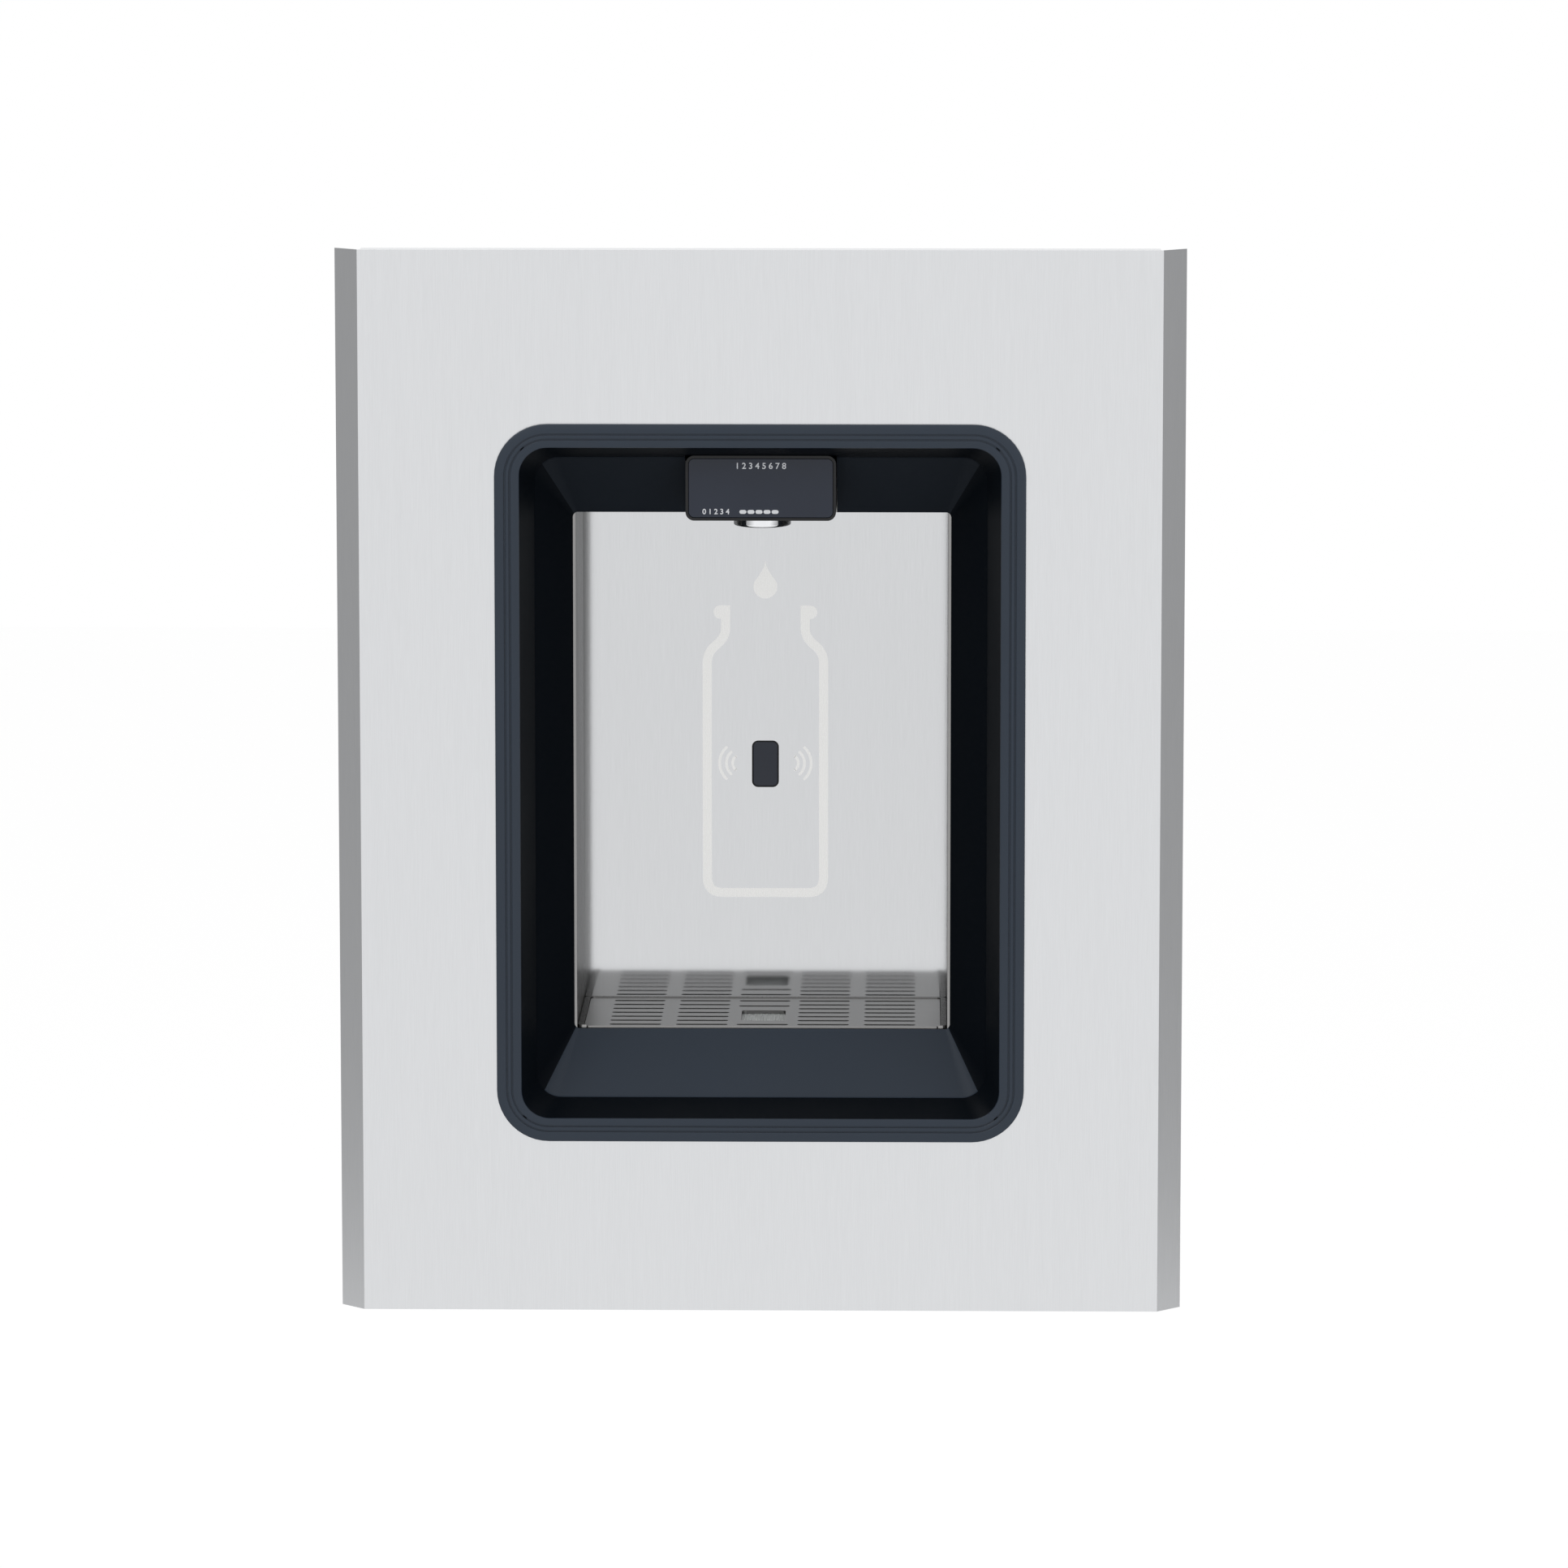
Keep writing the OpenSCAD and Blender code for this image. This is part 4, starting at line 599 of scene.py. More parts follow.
class STATION_OT_face_plate(StationOperator):
    """Face plate with softly bent edges"""
    bl_idname = "station.face_plate"
    bl_label = "Face plate"

    def build(self):
        softened("face_plate", self.sizes.edge * 1.5, 3, 30)
        for node in ("plate_hooks", "hanger_rail", "lower_bracket"):
            softened(node, self.sizes.edge)
        softened("plate_screws", 0.2 * MM)


class STATION_OT_bezel(StationOperator):
    """Moulded bezel: grooved band, lip, steep wall and funnel throat"""
    bl_idname = "station.bezel"
    bl_label = "Bezel"

    def build(self):
        s = self.sizes
        width, height = BEZEL_HIGH.x - BEZEL_LOW.x, BEZEL_HIGH.z - BEZEL_LOW.z
        front, plate, mouth = BEZEL_LOW.y, PLATE_LOW.y, LINER_LOW.y
        soft = s.band_edge
        step = 0.3 * MM
        stations = [(0, plate), (0, front + soft), (soft * 0.3, front + soft * 0.3), (soft, front)]
        for inset in (s.outer_groove, s.inner_groove):
            far = inset + s.groove_width
            floor = front + s.groove_depth
            stations += [(inset - step, front), (inset, front + 0.2 * MM), (inset + 0.05 * MM, floor),
                         (far - 0.05 * MM, floor), (far, front + 0.2 * MM), (far + step, front)]
        rings = [rounded_ring(width - 2 * inset, height - 2 * inset, BEZEL_RADIUS - inset, depth)
                 for inset, depth in stations]
        steep_y = plate + STEEP_RUN
        throat = [
            (grow(LIP, soft * 1.4), front), (grow(LIP, soft * 0.4), front + soft * 0.4),
            (LIP, front + soft * 1.4), (grow(STEEP_END, 0.35 * MM), steep_y - 1.2 * MM),
            (grow(STEEP_END, -0.15 * MM), steep_y - 0.1 * MM),
            (grow(STEEP_END, -0.9 * MM), steep_y + 0.6 * MM),
            (THROAT_END, mouth - 0.2 * MM), (THROAT_END, mouth),
            (grow(THROAT_END, THROAT_WALL), mouth), (grow(STEEP_END, THROAT_WALL), steep_y),
            (grow(LIP, THROAT_WALL), plate)]
        rings += [rounded_ring(*size, depth) for size, depth in throat]
        bm = loft(bmesh.new(), rings, loop=True)
        made = piece("bezel_shell", bm, "slate_plastic", replaces=("bezel",), smooth=28)
        # Painted shade: the steep wall and the side facets of the throat take the near black copy of the slate and
        # the top facet takes the darker copy, while the bottom facet and the band keep the slate itself
        made.data.materials.append(FINISHES["dusk_plastic"])
        made.data.materials.append(FINISHES["shadow_plastic"])
        for face in made.data.polygons:
            depth = face.center.y
            near = (abs(face.center.x) < LIP[0] / 2 + 0.1 * MM
                    and abs(face.center.z) < LIP[1] / 2 + 0.1 * MM)
            if near and front + soft * 1.3 < depth < steep_y - step:
                face.material_index = 2
            elif near and depth > steep_y:
                sideways = abs(face.normal.x) > abs(face.normal.z)
                face.material_index = 2 if sideways else 1 if face.center.z > 0 else 0
        self.notch(made)
        bm = bmesh.new()
        for sign in (-1, 1):
            for z in SIDE_POSTS_Z:
                boss(bm, (sign * SIDE_POST_X, PLATE_LOW.y + POST_START, z))
        for sign in (-1, 1):
            for x in END_POSTS_X:
                boss(bm, (x, PLATE_LOW.y + POST_START, sign * END_POST_Z))
        piece("bezel_posts", bm, "slate_plastic")
        softened("bezel_retainer", s.edge)

    def notch(self, made):
        """Cuts the place of the display out of the throat"""
        bm = bmesh.new()
        gap = 0.3 * MM
        bmesh.ops.create_cube(bm, size=1)
        size = (DISPLAY_HIGH.x - DISPLAY_LOW.x + 2 * gap, 60 * MM, DISPLAY_HIGH.z - DISPLAY_LOW.z + 2 * gap)
        bmesh.ops.scale(bm, vec=size, verts=bm.verts)
        middle = (0, DISPLAY_LOW.y - gap + size[1] / 2, (DISPLAY_LOW.z + DISPLAY_HIGH.z) / 2)
        bmesh.ops.translate(bm, vec=middle, verts=bm.verts)
        cutter = placed("notch", mesh_of("notch", bm))
        cut = made.modifiers.new("Notch", "BOOLEAN")
        cut.operation = "DIFFERENCE"
        cut.solver = "EXACT"
        cut.object = cutter
        shaped = evaluated_mesh(made)
        made.modifiers.clear()
        made.data = shaped
        bpy.data.objects.remove(cutter)
        shaped.set_sharp_from_angle(angle=math.radians(28))


def grow(size, by):
    """A rounded rectangle grown by a distance on all sides"""
    return (size[0] + 2 * by, size[1] + 2 * by, size[2] + by)


def in_mm(*points):
    """Points of a profile, given in millimetres"""
    return [(r * MM, h * MM) for r, h in points]


def boss(bm, place):
    """Post that a screw of the retainer goes into, with a rounded end"""
    profile = in_mm((1.4, 0), (2.9, 0), (3.2, -0.3), (3.2, -2), (1.4, -2), (1.4, 0))
    turned(bm, profile, place, axis=FRONT, steps=20)


class STATION_OT_niche(StationOperator):
    """Niche walls, back wall and basin with folded edges"""
    bl_idname = "station.niche"
    bl_label = "Niche"

    def build(self):
        edge = self.sizes.edge
        softened("niche_liner", edge)
        softened("back_panel", edge).data.materials[0] = FINISHES["brushed_wall"]
        softened("drain_basin", edge * 1.8, 3)
        softened("niche_straps", edge)
        soften(strap_screws=0.25, back_panel_rivets=0.4)


class STATION_OT_grille(StationOperator):
    """Slotted grille over a woven wire screen"""
    bl_idname = "station.grille"
    bl_label = "Drip grille"

    def build(self):
        s = self.sizes
        softened("drip_grille", s.edge * 1.2).data.materials[0] = FINISHES["brushed_grille"]
        self.frame_of_screen(s)
        self.wires(s, "screen_wires_across", True)
        self.wires(s, "screen_wires_along", False)

    def frame_of_screen(self, s):
        middle = (SCREEN_LOW + SCREEN_HIGH) / 2
        width, depth = SCREEN_HIGH.x - SCREEN_LOW.x, SCREEN_HIGH.y - SCREEN_LOW.y
        thick = 0.45 * MM
        rings = []
        for inset, z in ((0.2 * MM, -thick), (0, -thick * 0.6), (0, thick * 0.6), (0.2 * MM, thick),
                         (s.screen_border - 0.2 * MM, thick), (s.screen_border, thick * 0.6),
                         (s.screen_border, -thick * 0.6), (s.screen_border - 0.2 * MM, -thick)):
            outline = rounded_rectangle(width - 2 * inset, depth - 2 * inset, 10.5 * MM - inset, 10)
            rings.append([Vector((x, middle.y + y, middle.z + z)) for x, y in outline])
        piece("screen_frame", loft(bmesh.new(), rings, loop=True), "galvanised_steel",
              replaces=("splash_screen",), body="grille")

    def wires(self, s, name, across):
        """Waved wires, one pair of phases made by lofting and the rest copied from it"""
        inset = s.screen_border * 0.6
        low = SCREEN_LOW + Vector((inset, inset, 0))
        high = SCREEN_HIGH - Vector((inset, inset, 0))
        middle = (low + high) / 2
        length_along = high.x - low.x if across else high.y - low.y
        length_other = high.y - low.y if across else high.x - low.x
        steps = int(length_along / s.wire_pitch)
        count = int(length_other / s.wire_pitch)
        bm = bmesh.new()
        for phase in (0, 1):
            rings = []
            for i in range(steps + 1):
                t = -length_along / 2 + i * length_along / steps
                lift = 0.2 * MM * (1 if (i + phase + across) % 2 else -1)
                ring = []
                for k in range(4):
                    angle = math.pi / 2 * k
                    side, rise = math.cos(angle) * s.wire_radius, math.sin(angle) * s.wire_radius + lift
                    ring.append(Vector((t, side, rise)) if across else Vector((side, t, rise)))
                rings.append(ring)
            mesh = mesh_of("wire", loft(bmesh.new(), rings))
            for row in range(phase, count, 2):
                shift = -length_other / 2 + (row + 0.5) * length_other / count
                here = len(bm.verts)
                bm.from_mesh(mesh)
                bm.verts.ensure_lookup_table()
                offset = Vector((0, shift, 0)) if across else Vector((shift, 0, 0))
                bmesh.ops.translate(bm, vec=middle + offset, verts=bm.verts[here:])
            bpy.data.meshes.remove(mesh)
        piece(name, bm, "galvanised_steel", "screen_wire", smooth=60, body="grille")


class STATION_OT_symbols(StationOperator):
    """Frosted bottle, drop and wave symbols on the back wall"""
    bl_idname = "station.symbols"
    bl_label = "Symbols"

    def build(self):
        s = self.sizes
        wall, thick = BACK_LOW.y, s.print_thickness
        half = s.print_line / 2
        side, neck = 34.4 * MM, 23.5 * MM
        low, top = -86.3 * MM, 77 * MM
        shoulder = [(-neck, top), (-neck, 66 * MM), (-side, 57 * MM), (-side, 30 * MM)]
        corner = filleted([(-side, low + 20 * MM), (-side, low), (-side + 20 * MM, low)], 9 * MM)
        left = filleted(shoulder, 6.5 * MM, 10) + corner
        right = [Vector((-p.x, p.y)) for p in reversed(left)]
        bm = bmesh.new()
        stroke(bm, left + right, half, wall, thick, round_ends=(False, False))
        for sign in (-1, 1):
            collar = [(sign * 30.6 * MM, 81 * MM), (sign * (neck - half), 81 * MM)]
            stroke(bm, collar, 4 * MM, wall, thick, (True, False))
        piece("bottle_symbol", bm, "brushed_plate", "frosted_print")
        bm = bmesh.new()
        drop = []
        tip, belly, round_radius = 111 * MM, 96.1 * MM, 7.05 * MM
        for i in range(9):
            t = i / 8
            drop.append((tip - 10.5 * MM * t, max(0.25 * MM, 5.4 * MM * t ** 1.5)))
        for i in range(1, 13):
            angle = math.radians(130 * i / 12 + 50)
            half_width = max(0.3 * MM, round_radius * math.sin(angle))
            drop.append((belly + round_radius * math.cos(angle), half_width))
        rings = [[Vector((-half_width, wall, z)), Vector((half_width, wall, z))] for z, half_width in drop]
        loft(bm, rings, ring_closed=False)
        thickened(bm, list(bm.faces), FRONT * thick)
        piece("drop_symbol", bm, "brushed_plate", "frosted_print")
        bm = bmesh.new()
        for sign in (-1, 1):
            centre = Vector((sign * 14.2 * MM, -8.9 * MM))
            for radius, opening in ((5.2, 57), (8.9, 52), (12.9, 50)):
                arc = []
                for i in range(17):
                    angle = math.radians(-opening + 2 * opening * i / 16)
                    arc.append(centre + Vector((sign * math.cos(angle), math.sin(angle))) * radius * MM)
                stroke(bm, arc, s.wave_line / 2, wall, thick)
        piece("wave_symbols", bm, "brushed_plate", "frosted_print")


class STATION_OT_display(StationOperator):
    """Display housing, smoked lens, digits and bars"""
    bl_idname = "station.display"
    bl_label = "Display"

    def build(self):
        softened("display_housing", 0.5 * MM, 3)
        softened("display_lens", 0.35 * MM, 3)
        front = LENS_LOW.y
        middle = (LENS_LOW.z + LENS_HIGH.z) / 2
        low = middle - 13.6 * MM
        self.digits("counter_digits", "1 2 3 4 5 6 7 8", 4.9 * MM, 0, middle + 12.6 * MM, front)
        self.digits("level_digits", "0 1 2 3 4", 4.3 * MM, -25.6 * MM, low, front)
        bm = bmesh.new()
        for i in range(5):
            x = (-10.2 + i * 4.6) * MM
            stroke(bm, [(x - 2.0 * MM, low), (x + 2.0 * MM, low)], 1.1 * MM, front, 0.03 * MM)
        piece("level_bars", bm, "smoked_lens", "display_marks")
        soften(display_board=0.1, digit_module=0.3)

    def digits(self, name, text, size, x, z, front):
        """A row of plain digits on the lens"""
        curve = bpy.data.curves.new(name, "FONT")
        curve.body = text
        curve.size = size
        curve.align_x = "CENTER"
        curve.align_y = "CENTER"
        curve.extrude = 0.015 * MM
        curve.offset = 0.07 * MM
        made = placed(name + "_text", curve)
        mesh = evaluated_mesh(made)
        bpy.data.objects.remove(made)
        bm = bmesh.new()
        bm.from_mesh(mesh)
        bpy.data.meshes.remove(mesh)
        turn = UP.rotation_difference(FRONT).to_matrix()
        bmesh.ops.rotate(bm, cent=(0, 0, 0), matrix=turn, verts=bm.verts)
        flat = Vector((x, front - 0.015 * MM, z))
        bmesh.ops.translate(bm, vec=flat, verts=bm.verts)
        piece(name, bm, "smoked_lens", "display_marks")


class STATION_OT_nozzle(StationOperator):
    """Chrome nozzle ring with a rounded lower edge, and its block"""
    bl_idname = "station.nozzle"
    bl_label = "Nozzle"

    def build(self):
        outer = (RING_HIGH.x - RING_LOW.x) / 2
        middle = (RING_LOW + RING_HIGH) / 2
        tall = RING_HIGH.z - RING_LOW.z
        bore, turn = 11.4 * MM, 1.6 * MM
        profile = [(bore, tall), (outer - 0.3 * MM, tall), (outer, tall - 0.3 * MM), (outer, turn)]
        for i in range(1, 9):
            angle = math.radians(90 * i / 8)
            profile.append((outer - turn * (1 - math.cos(angle)), turn * (1 - math.sin(angle))))
        profile += [(bore + 1.2 * MM, 0), (bore + 0.4 * MM, 0.2 * MM), (bore, 0.8 * MM), (bore, tall)]
        bm = turned(bmesh.new(), profile, (middle.x, middle.y, RING_LOW.z), steps=96)
        piece("nozzle_ring_shell", bm, "chrome_brass", replaces=("nozzle_ring",))
        soften(nozzle_body=0.6, flow_straightener=0.1)


class STATION_OT_sensor(StationOperator):
    """Sensor window with a black rim, and its case"""
    bl_idname = "station.sensor"
    bl_label = "Bottle sensor"

    def build(self):
        width, height = WINDOW_HIGH.x - WINDOW_LOW.x, WINDOW_HIGH.z - WINDOW_LOW.z
        centre = (0, (WINDOW_LOW.z + WINDOW_HIGH.z) / 2)
        front = WINDOW_LOW.y

        def rings(*stations):
            return [rounded_ring(width - 2 * inset * MM, height - 2 * inset * MM, (3.6 - inset) * MM,
                                 front + depth * MM, centre=centre) for inset, depth in stations]

        rim = rings((0, 1.0), (0, 0.1), (0.15, -0.08), (0.55, -0.08), (0.75, 0.1), (0.75, 1.0))
        piece("sensor_rim", loft(bmesh.new(), rim, loop=True), "black_plastic")
        window = rings((0.7, 3.0), (0.7, 0.35), (0.8, 0.12), (1.1, 0.0))
        bm = loft(bmesh.new(), window, capped=True)
        piece("sensor_window_lens", bm, "smoked_lens", replaces=("sensor_window",))
        soften(sensor_housing=0.8, sensor_screws=0.2)


class STATION_OT_wall_box(StationOperator):
    """Wall box with knock-outs, spot welds and pressed ribs"""
    bl_idname = "station.wall_box"
    bl_label = "Wall box"

    def build(self):
        softened("wall_box", self.sizes.edge)
        softened("box_floor", self.sizes.edge)
        bm = bmesh.new()
        side = WALL_HIGH.x - EAR_WIDTH
        for sign in (-1, 1):
            for z in (-0.2, 0.2):
                self.knockout(bm, (sign * side, KNOCKOUT_Y, z), (sign, 0, 0))
            for x in (-0.09, 0.09):
                self.knockout(bm, (x, KNOCKOUT_Y, sign * WALL_HIGH.z), (0, 0, sign))
        for z in (0.19, -0.19):
            for x in (-0.1, 0.1):
                self.knockout(bm, (x, WALL_HIGH.y, z), (0, 1, 0))
        piece("knockouts", bm, "galvanised_steel")
        bm = bmesh.new()
        for sign in (-1, 1):
            for i in range(12):
                self.weld(bm, (sign * side, EAR_WELD_Y, -0.242 + i * 0.044), (sign, 0, 0))
            for i in range(9):
                self.weld(bm, (-0.16 + i * 0.04, BACK_WELD_Y, sign * WALL_HIGH.z), (0, 0, sign))
                self.weld(bm, (sign * side, BACK_WELD_Y, -0.24 + i * 0.06), (sign, 0, 0))
        piece("spot_welds", bm, "galvanised_steel", smooth=60)
        self.ribs()

    def ribs(self):
        """Pressed ribs that stiffen the large back"""
        bm = bmesh.new()
        for sign in (-1, 1):
            for z in (-0.13, 0.0, 0.13):
                middle = (sign * 0.10, z)
                rings = []
                for inset, rise in ((0, 0), (0.8, 0.7), (2.0, 1.4), (3.6, 1.6)):
                    rings.append(rounded_ring((110 - 2 * inset) * MM, (16 - 2 * inset) * MM,
                                              (8 - inset) * MM, WALL_HIGH.y + rise * MM, 8, middle))
                loft(bm, rings)
                top = WALL_HIGH.y + (rise - 0.01) * MM
                rim = [e for e in bm.edges if e.is_boundary and e.verts[0].co.y > top]
                bmesh.ops.holes_fill(bm, edges=rim)
        piece("pressed_ribs", bm, "galvanised_steel", smooth=60)

    def knockout(self, bm, place, axis):
        """Half-cut disc with a ring groove"""
        radius = self.sizes.knockout_radius
        inner, middle = radius - 1.1 * MM, radius * 0.5
        profile = [(radius, 0), (radius, 0.35 * MM), (radius - 0.5 * MM, 0.5 * MM), (inner, 0.35 * MM),
                   (inner, 0.12 * MM), (middle, 0.12 * MM), (middle - 0.4 * MM, 0.3 * MM),
                   (0.01 * MM, 0.3 * MM)]
        turned(bm, profile, place, axis, 40)

    def weld(self, bm, place, axis):
        """Shallow round dimple with a raised edge"""
        turned(bm, in_mm((2.4, 0), (2.1, 0.12), (1.6, 0.14), (1.0, 0.05), (0.01, 0.04)), place, axis, 16)


class STATION_OT_drain(StationOperator):
    """Drain body, nuts and tailpiece with machined edges"""
    bl_idname = "station.drain"
    bl_label = "Drain"

    def build(self):
        soften(drain_strainer=0.4, drain_gasket=0.5, drain_locknut=0.8, slip_nut=0.5, drain_tailpiece=0.3)


class STATION_OT_water_line(StationOperator):
    """Stub, stop valve, tubes and flow regulator"""
    bl_idname = "station.water_line"
    bl_label = "Water line"

    def build(self):
        soften(inlet_stub=0.4, bulkhead_nut=0.8, stop_valve_body=0.6, valve_ball=0.3, stop_valve_handle=0.9,
               flow_regulator=0.6, regulator_knob=0.4)


class STATION_OT_filter(StationOperator):
    """Filter head, cartridge with grip ribs and coloured band"""
    bl_idname = "station.filter"
    bl_label = "Filter"

    def build(self):
        softened("filter_head", 0.8 * MM)
        softened("filter_bracket", self.sizes.edge)
        softened("filter_cartridge", 0.4 * MM)
        middle = (FILTER_LOW + FILTER_HIGH) / 2
        radius = 30 * MM
        low = FILTER_LOW.z
        bm = bmesh.new()
        for i in range(30):
            angle = 2 * math.pi * i / 30
            out = Vector((math.cos(angle), math.sin(angle), 0))
            side = Vector((-out.y, out.x, 0))
            rings = []
            for z, share in ((14, 0.2), (16, 0.8), (20, 1), (48, 1), (52, 0.8), (54, 0.2)):
                foot = Vector((middle.x, middle.y, low + z * MM)) + out * (radius - 0.3 * MM)
                rings.append([foot - side * 0.9 * MM, foot - side * 0.5 * MM + out * 0.9 * MM * share,
                              foot + side * 0.5 * MM + out * 0.9 * MM * share, foot + side * 0.9 * MM])
            loft(bm, rings, capped=True)
        piece("cartridge_grip", bm, "white_plastic", body="cartridge")
        top = FILTER_HIGH.z - 42 * MM
        under, over, tall = radius - 0.2 * MM, radius + 0.15 * MM, 12 * MM
        profile = [(under, 0), (over, 0.1 * MM), (over, tall - 0.1 * MM), (under, tall)]
        bm = turned(bmesh.new(), profile, (middle.x, middle.y, top - tall), steps=64)
        piece("cartridge_band", bm, "blue_plastic", body="cartridge")


class STATION_OT_solenoid(StationOperator):
    """Solenoid valve with a wound return spring"""
    bl_idname = "station.solenoid"
    bl_label = "Solenoid valve"

    def build(self):
        soften(solenoid_valve=0.5, solenoid_coil=0.8)
        turns = self.sizes.spring_turns
        wire = 0.5 * MM
        middle = (SPRING_LOW + SPRING_HIGH) / 2
        radius = (SPRING_HIGH.x - SPRING_LOW.x) / 2 - wire
        low, high = SPRING_LOW.z + wire, SPRING_HIGH.z - wire
        rings = []
        count = turns * 20
        for i in range(count + 1):
            share = min(1, max(0, (i / 20 - 1) / (turns - 2)))
            angle = 2 * math.pi * i / 20
            out = Vector((math.cos(angle), math.sin(angle), 0))
            rise = low + (high - low) * share
            centre = Vector((middle.x, middle.y, rise)) + out * radius
            rings.append([centre + out * wire * math.cos(t) + UP * wire * math.sin(t)
                          for t in (math.pi / 4 * k for k in range(8))])
        made = piece("return_spring", loft(bmesh.new(), rings, capped=True), "screw_steel",
                     replaces=("plunger_spring",), smooth=60)
        joint = next(j for j in frame["joints"] if j["name"] == "core_lift")
        long = SPRING_HIGH.z - SPRING_LOW.z
        (long - joint["range_m"][1]) / long
        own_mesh(made)


class STATION_OT_electrics(StationOperator):
    """Controller, low voltage supply and cable gland"""
    bl_idname = "station.electrics"
    bl_label = "Electrics"

    def build(self):
        soften(control_box=1.0, control_box_lid=0.6, power_supply=0.8, cable_gland=0.5)
        bm = bmesh.new()
        for x in (CONTROL_LOW.x + 7 * MM, CONTROL_HIGH.x - 7 * MM):
            for z in (CONTROL_LOW.z + 7 * MM, CONTROL_HIGH.z - 7 * MM):
                self.screw_head(bm, (x, CONTROL_LOW.y, z))
        for z in (SUPPLY_LOW.z + 8 * MM, SUPPLY_HIGH.z - 8 * MM):
            self.screw_head(bm, ((SUPPLY_LOW.x + SUPPLY_HIGH.x) / 2, SUPPLY_LOW.y, z))
        piece("case_screws", bm, "screw_steel")

    def screw_head(self, bm, place):
        """Domed head with a round recess"""
        profile = in_mm((2.6, 0), (2.6, 0.6), (2.2, 1.1), (1.3, 1.3), (1.1, 0.7), (0.01, 0.6))
        turned(bm, profile, place, FRONT, 20)


# Floor in metres, and a camera fitted to the photograph
FLOOR_REACH = 6
FLOOR_WIDTH_SHARE = 0.27
FLOOR_Z = -0.62
CAMERA_LENS = 180.3
CAMERA_ANGLES = (0.954, 7.864)
CAMERA_AIM = Vector((0.0134, 0, -0.0013))
CAMERA_DISTANCE = 4.5


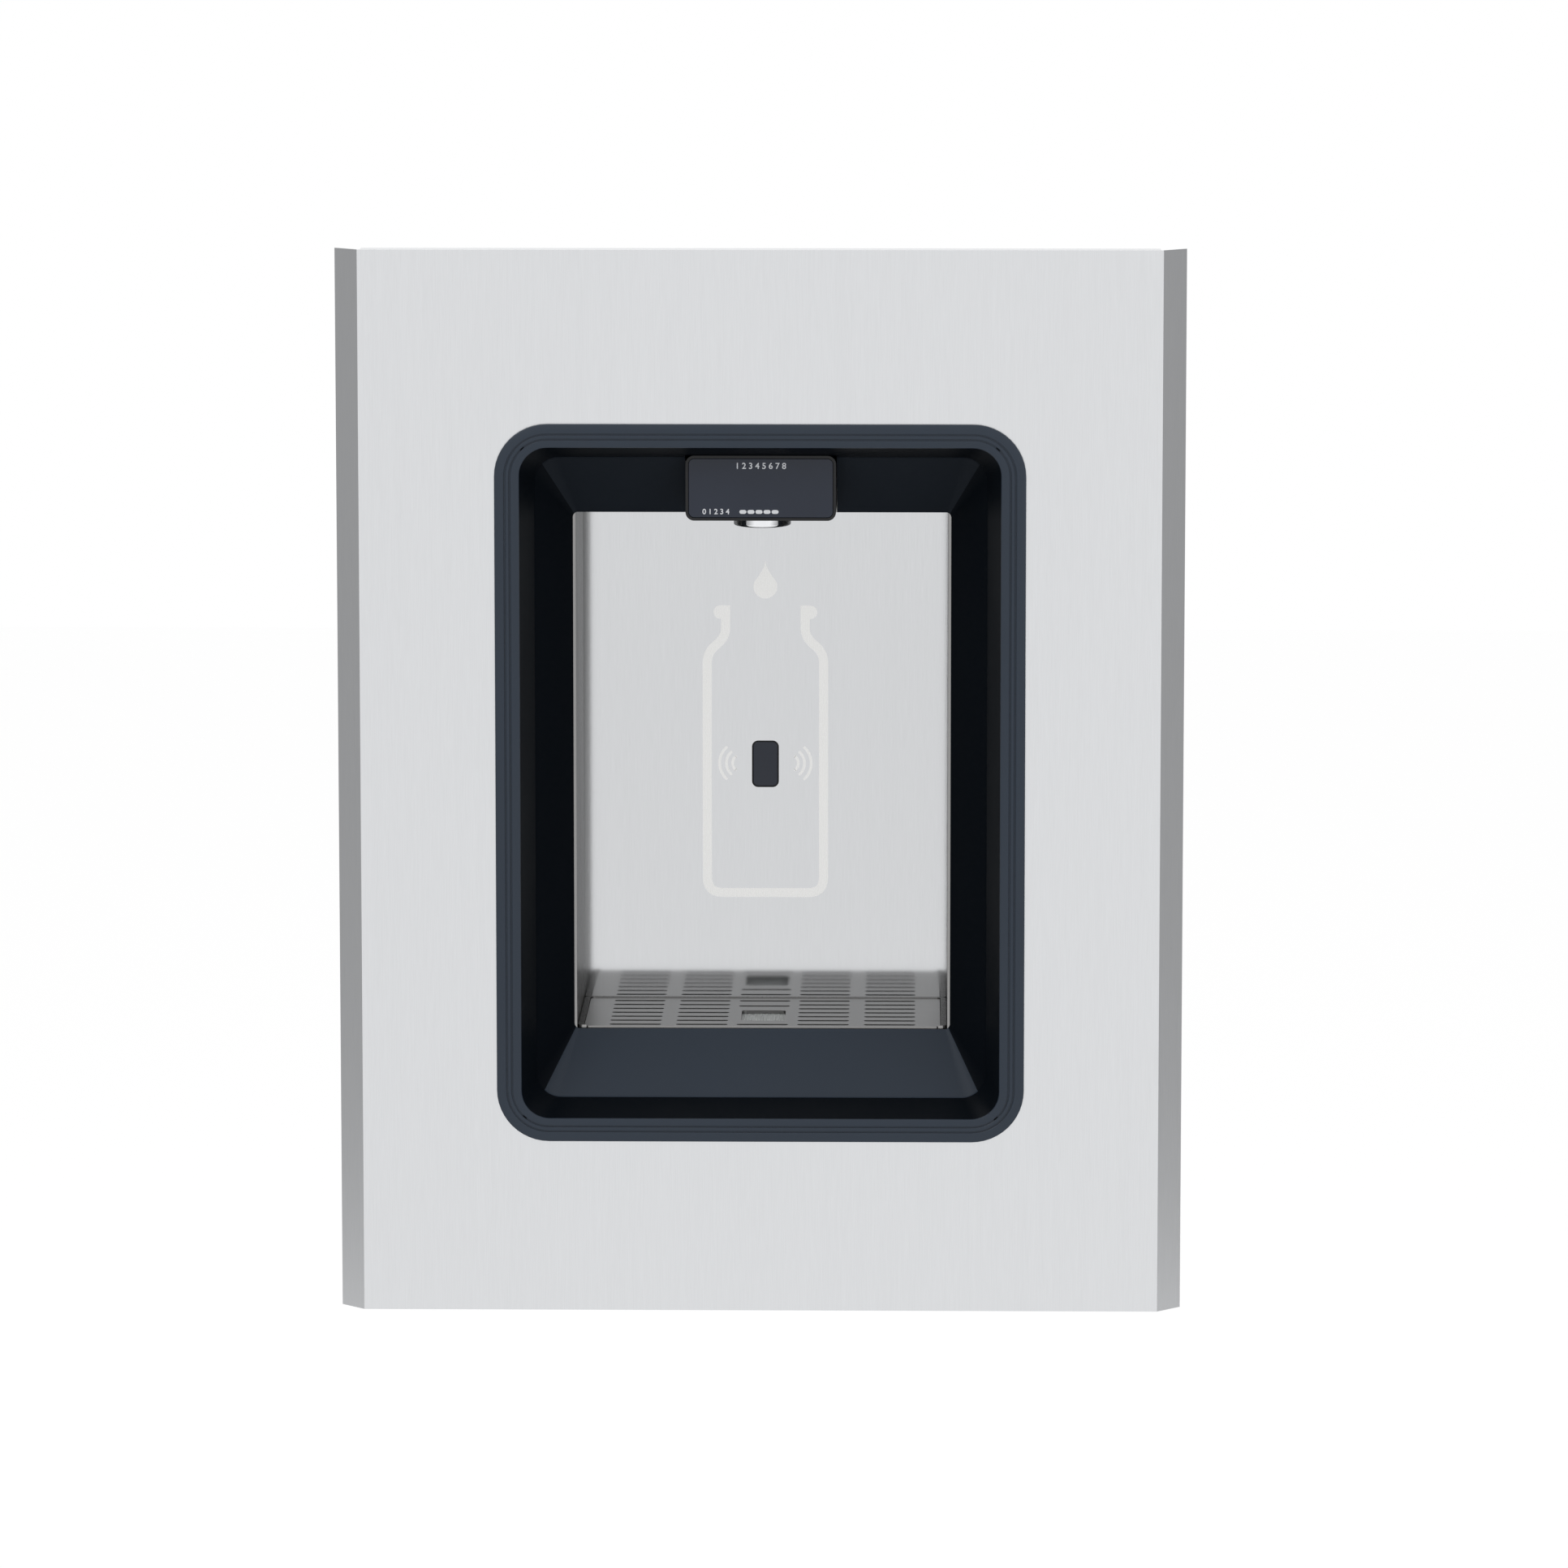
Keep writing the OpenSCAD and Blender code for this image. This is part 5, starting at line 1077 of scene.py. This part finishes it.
class STATION_OT_stage(StationOperator):
    """Floor, soft light and camera"""
    bl_idname = "station.stage"
    bl_label = "Stage"

    def build(self):
        bm = bmesh.new()
        bmesh.ops.create_grid(bm, x_segments=1, y_segments=1, size=FLOOR_REACH)
        bmesh.ops.scale(bm, vec=(FLOOR_WIDTH_SHARE, 1, 1), verts=bm.verts)
        bmesh.ops.translate(bm, vec=(0, 0, FLOOR_Z), verts=bm.verts)
        floor = placed("floor", mesh_of("floor", bm))
        floor.data.materials.append(self.floor_paint())
        self.world()
        self.lamp("key_lamp", (-1.1, -1.7, 1.6), 1.4, 11, (0, 0, 0.05))
        self.lamp("fill_lamp", (1.5, -1.5, 0.5), 1.4, 4, (0, 0, 0))
        self.lamp("top_lamp", (0.0, 0.6, 1.9), 1.2, 7, (0, 0.1, 0))
        data = bpy.data.cameras.new("camera")
        data.sensor_width = 36
        data.lens = CAMERA_LENS
        data.clip_end = 50
        camera = placed("camera", data)
        azimuth, elevation = (math.radians(angle) for angle in CAMERA_ANGLES)
        back = Vector((math.sin(azimuth) * math.cos(elevation), -math.cos(azimuth) * math.cos(elevation),
                       math.sin(elevation)))
        camera.location = CAMERA_AIM + back * CAMERA_DISTANCE
        camera.rotation_euler = (-back).to_track_quat("-Z", "Y").to_euler()
        scene = bpy.context.scene
        scene.camera = camera
        scene.view_settings.view_transform = "Standard"

    def floor_paint(self):
        """White to the camera and in reflections, and pale paint to the light"""
        paint = Finish("floor_paint", (0.82, 0.82, 0.82), 0.6)
        cloud = paint.noise((3, 3, 3), detail=2)
        paint.shade(cloud, 0.99, 1.0)
        path = paint.node("ShaderNodeLightPath", output="Is Camera Ray")
        light_path = path.socket.node
        seen = path + Signal(paint, light_path.outputs["Is Glossy Ray"])
        seen = seen + Signal(paint, light_path.outputs["Is Transmission Ray"])
        white = paint.node("ShaderNodeEmission", {}, {"Color": (1, 1, 1, 1), "Strength": 1.15})
        own = Signal(paint, paint.shader.outputs[0])
        blend = paint.node("ShaderNodeMixShader", {}, {0: seen * 0.75, 1: own, 2: white})
        paint.tree.links.new(blend.socket, paint.tree.nodes["Material Output"].inputs["Surface"])
        return paint.material

    def world(self):
        """White for the camera; softer and darker towards the sides for the light on the object"""
        world = bpy.data.worlds.new("studio")
        bpy.context.scene.world = world
        world.use_nodes = True
        tree = world.node_tree
        background = tree.nodes["Background"]
        holder = Finish.__new__(Finish)
        holder.tree = tree
        path = holder.node("ShaderNodeLightPath", output="Is Camera Ray")
        glossy = Signal(holder, path.socket.node.outputs["Is Glossy Ray"])
        direction = holder.node("ShaderNodeTexCoord", output="Generated")
        across = abs(holder.node("ShaderNodeSeparateXYZ", {}, (direction,), output="X"))
        level = holder.node("ShaderNodeMapRange", {"interpolation_type": "SMOOTHSTEP"},
                            (across, 0.45, 0.95, 1.0, 0.40))
        lit = level * glossy + (1 - glossy) * level * 0.62
        tree.links.new((path + (1 - path) * lit).socket, background.inputs["Strength"])
        background.inputs["Color"].default_value = (1, 1, 1, 1)

    def lamp(self, name, place, size, power, aim):
        data = bpy.data.lights.new(name, "AREA")
        data.shape = "SQUARE"
        data.size = size
        data.energy = power
        made = placed(name, data)
        made.location = place
        made.rotation_euler = (Vector(aim) - Vector(place)).to_track_quat("-Z", "Y").to_euler()


OPERATORS = (
    STATION_OT_finishes, STATION_OT_face_plate, STATION_OT_bezel, STATION_OT_niche, STATION_OT_grille,
    STATION_OT_symbols, STATION_OT_display, STATION_OT_nozzle, STATION_OT_sensor, STATION_OT_wall_box,
    STATION_OT_drain, STATION_OT_water_line, STATION_OT_filter, STATION_OT_solenoid, STATION_OT_electrics,
    STATION_OT_stage,
)


class STATION_PT_panel(bpy.types.Panel):
    """Sizes, colours and operators of the station"""
    bl_idname = "STATION_PT_panel"
    bl_label = "Bottle filling station"
    bl_space_type = "VIEW_3D"
    bl_region_type = "UI"
    bl_category = "Station"

    def draw(self, context):
        layout = self.layout
        for group in (context.scene.station_sizes, context.scene.station_colours):
            column = layout.column(align=True)
            for key in group.__annotations__:
                column.prop(group, key)
        for operator in OPERATORS:
            layout.operator(operator.bl_idname)


CLASSES = (StationSizes, StationColours, *OPERATORS, STATION_PT_panel)


def register():
    for cls in CLASSES:
        bpy.utils.register_class(cls)
    bpy.types.Scene.station_sizes = PointerProperty(type=StationSizes)
    bpy.types.Scene.station_colours = PointerProperty(type=StationColours)


def unregister():
    del bpy.types.Scene.station_colours
    del bpy.types.Scene.station_sizes
    for cls in reversed(CLASSES):
        bpy.utils.unregister_class(cls)


def main():
    register()
    for operator in OPERATORS:
        group, name = operator.bl_idname.split(".")
        getattr(getattr(bpy.ops, group), name)()


if __name__ == "__main__":
    main()
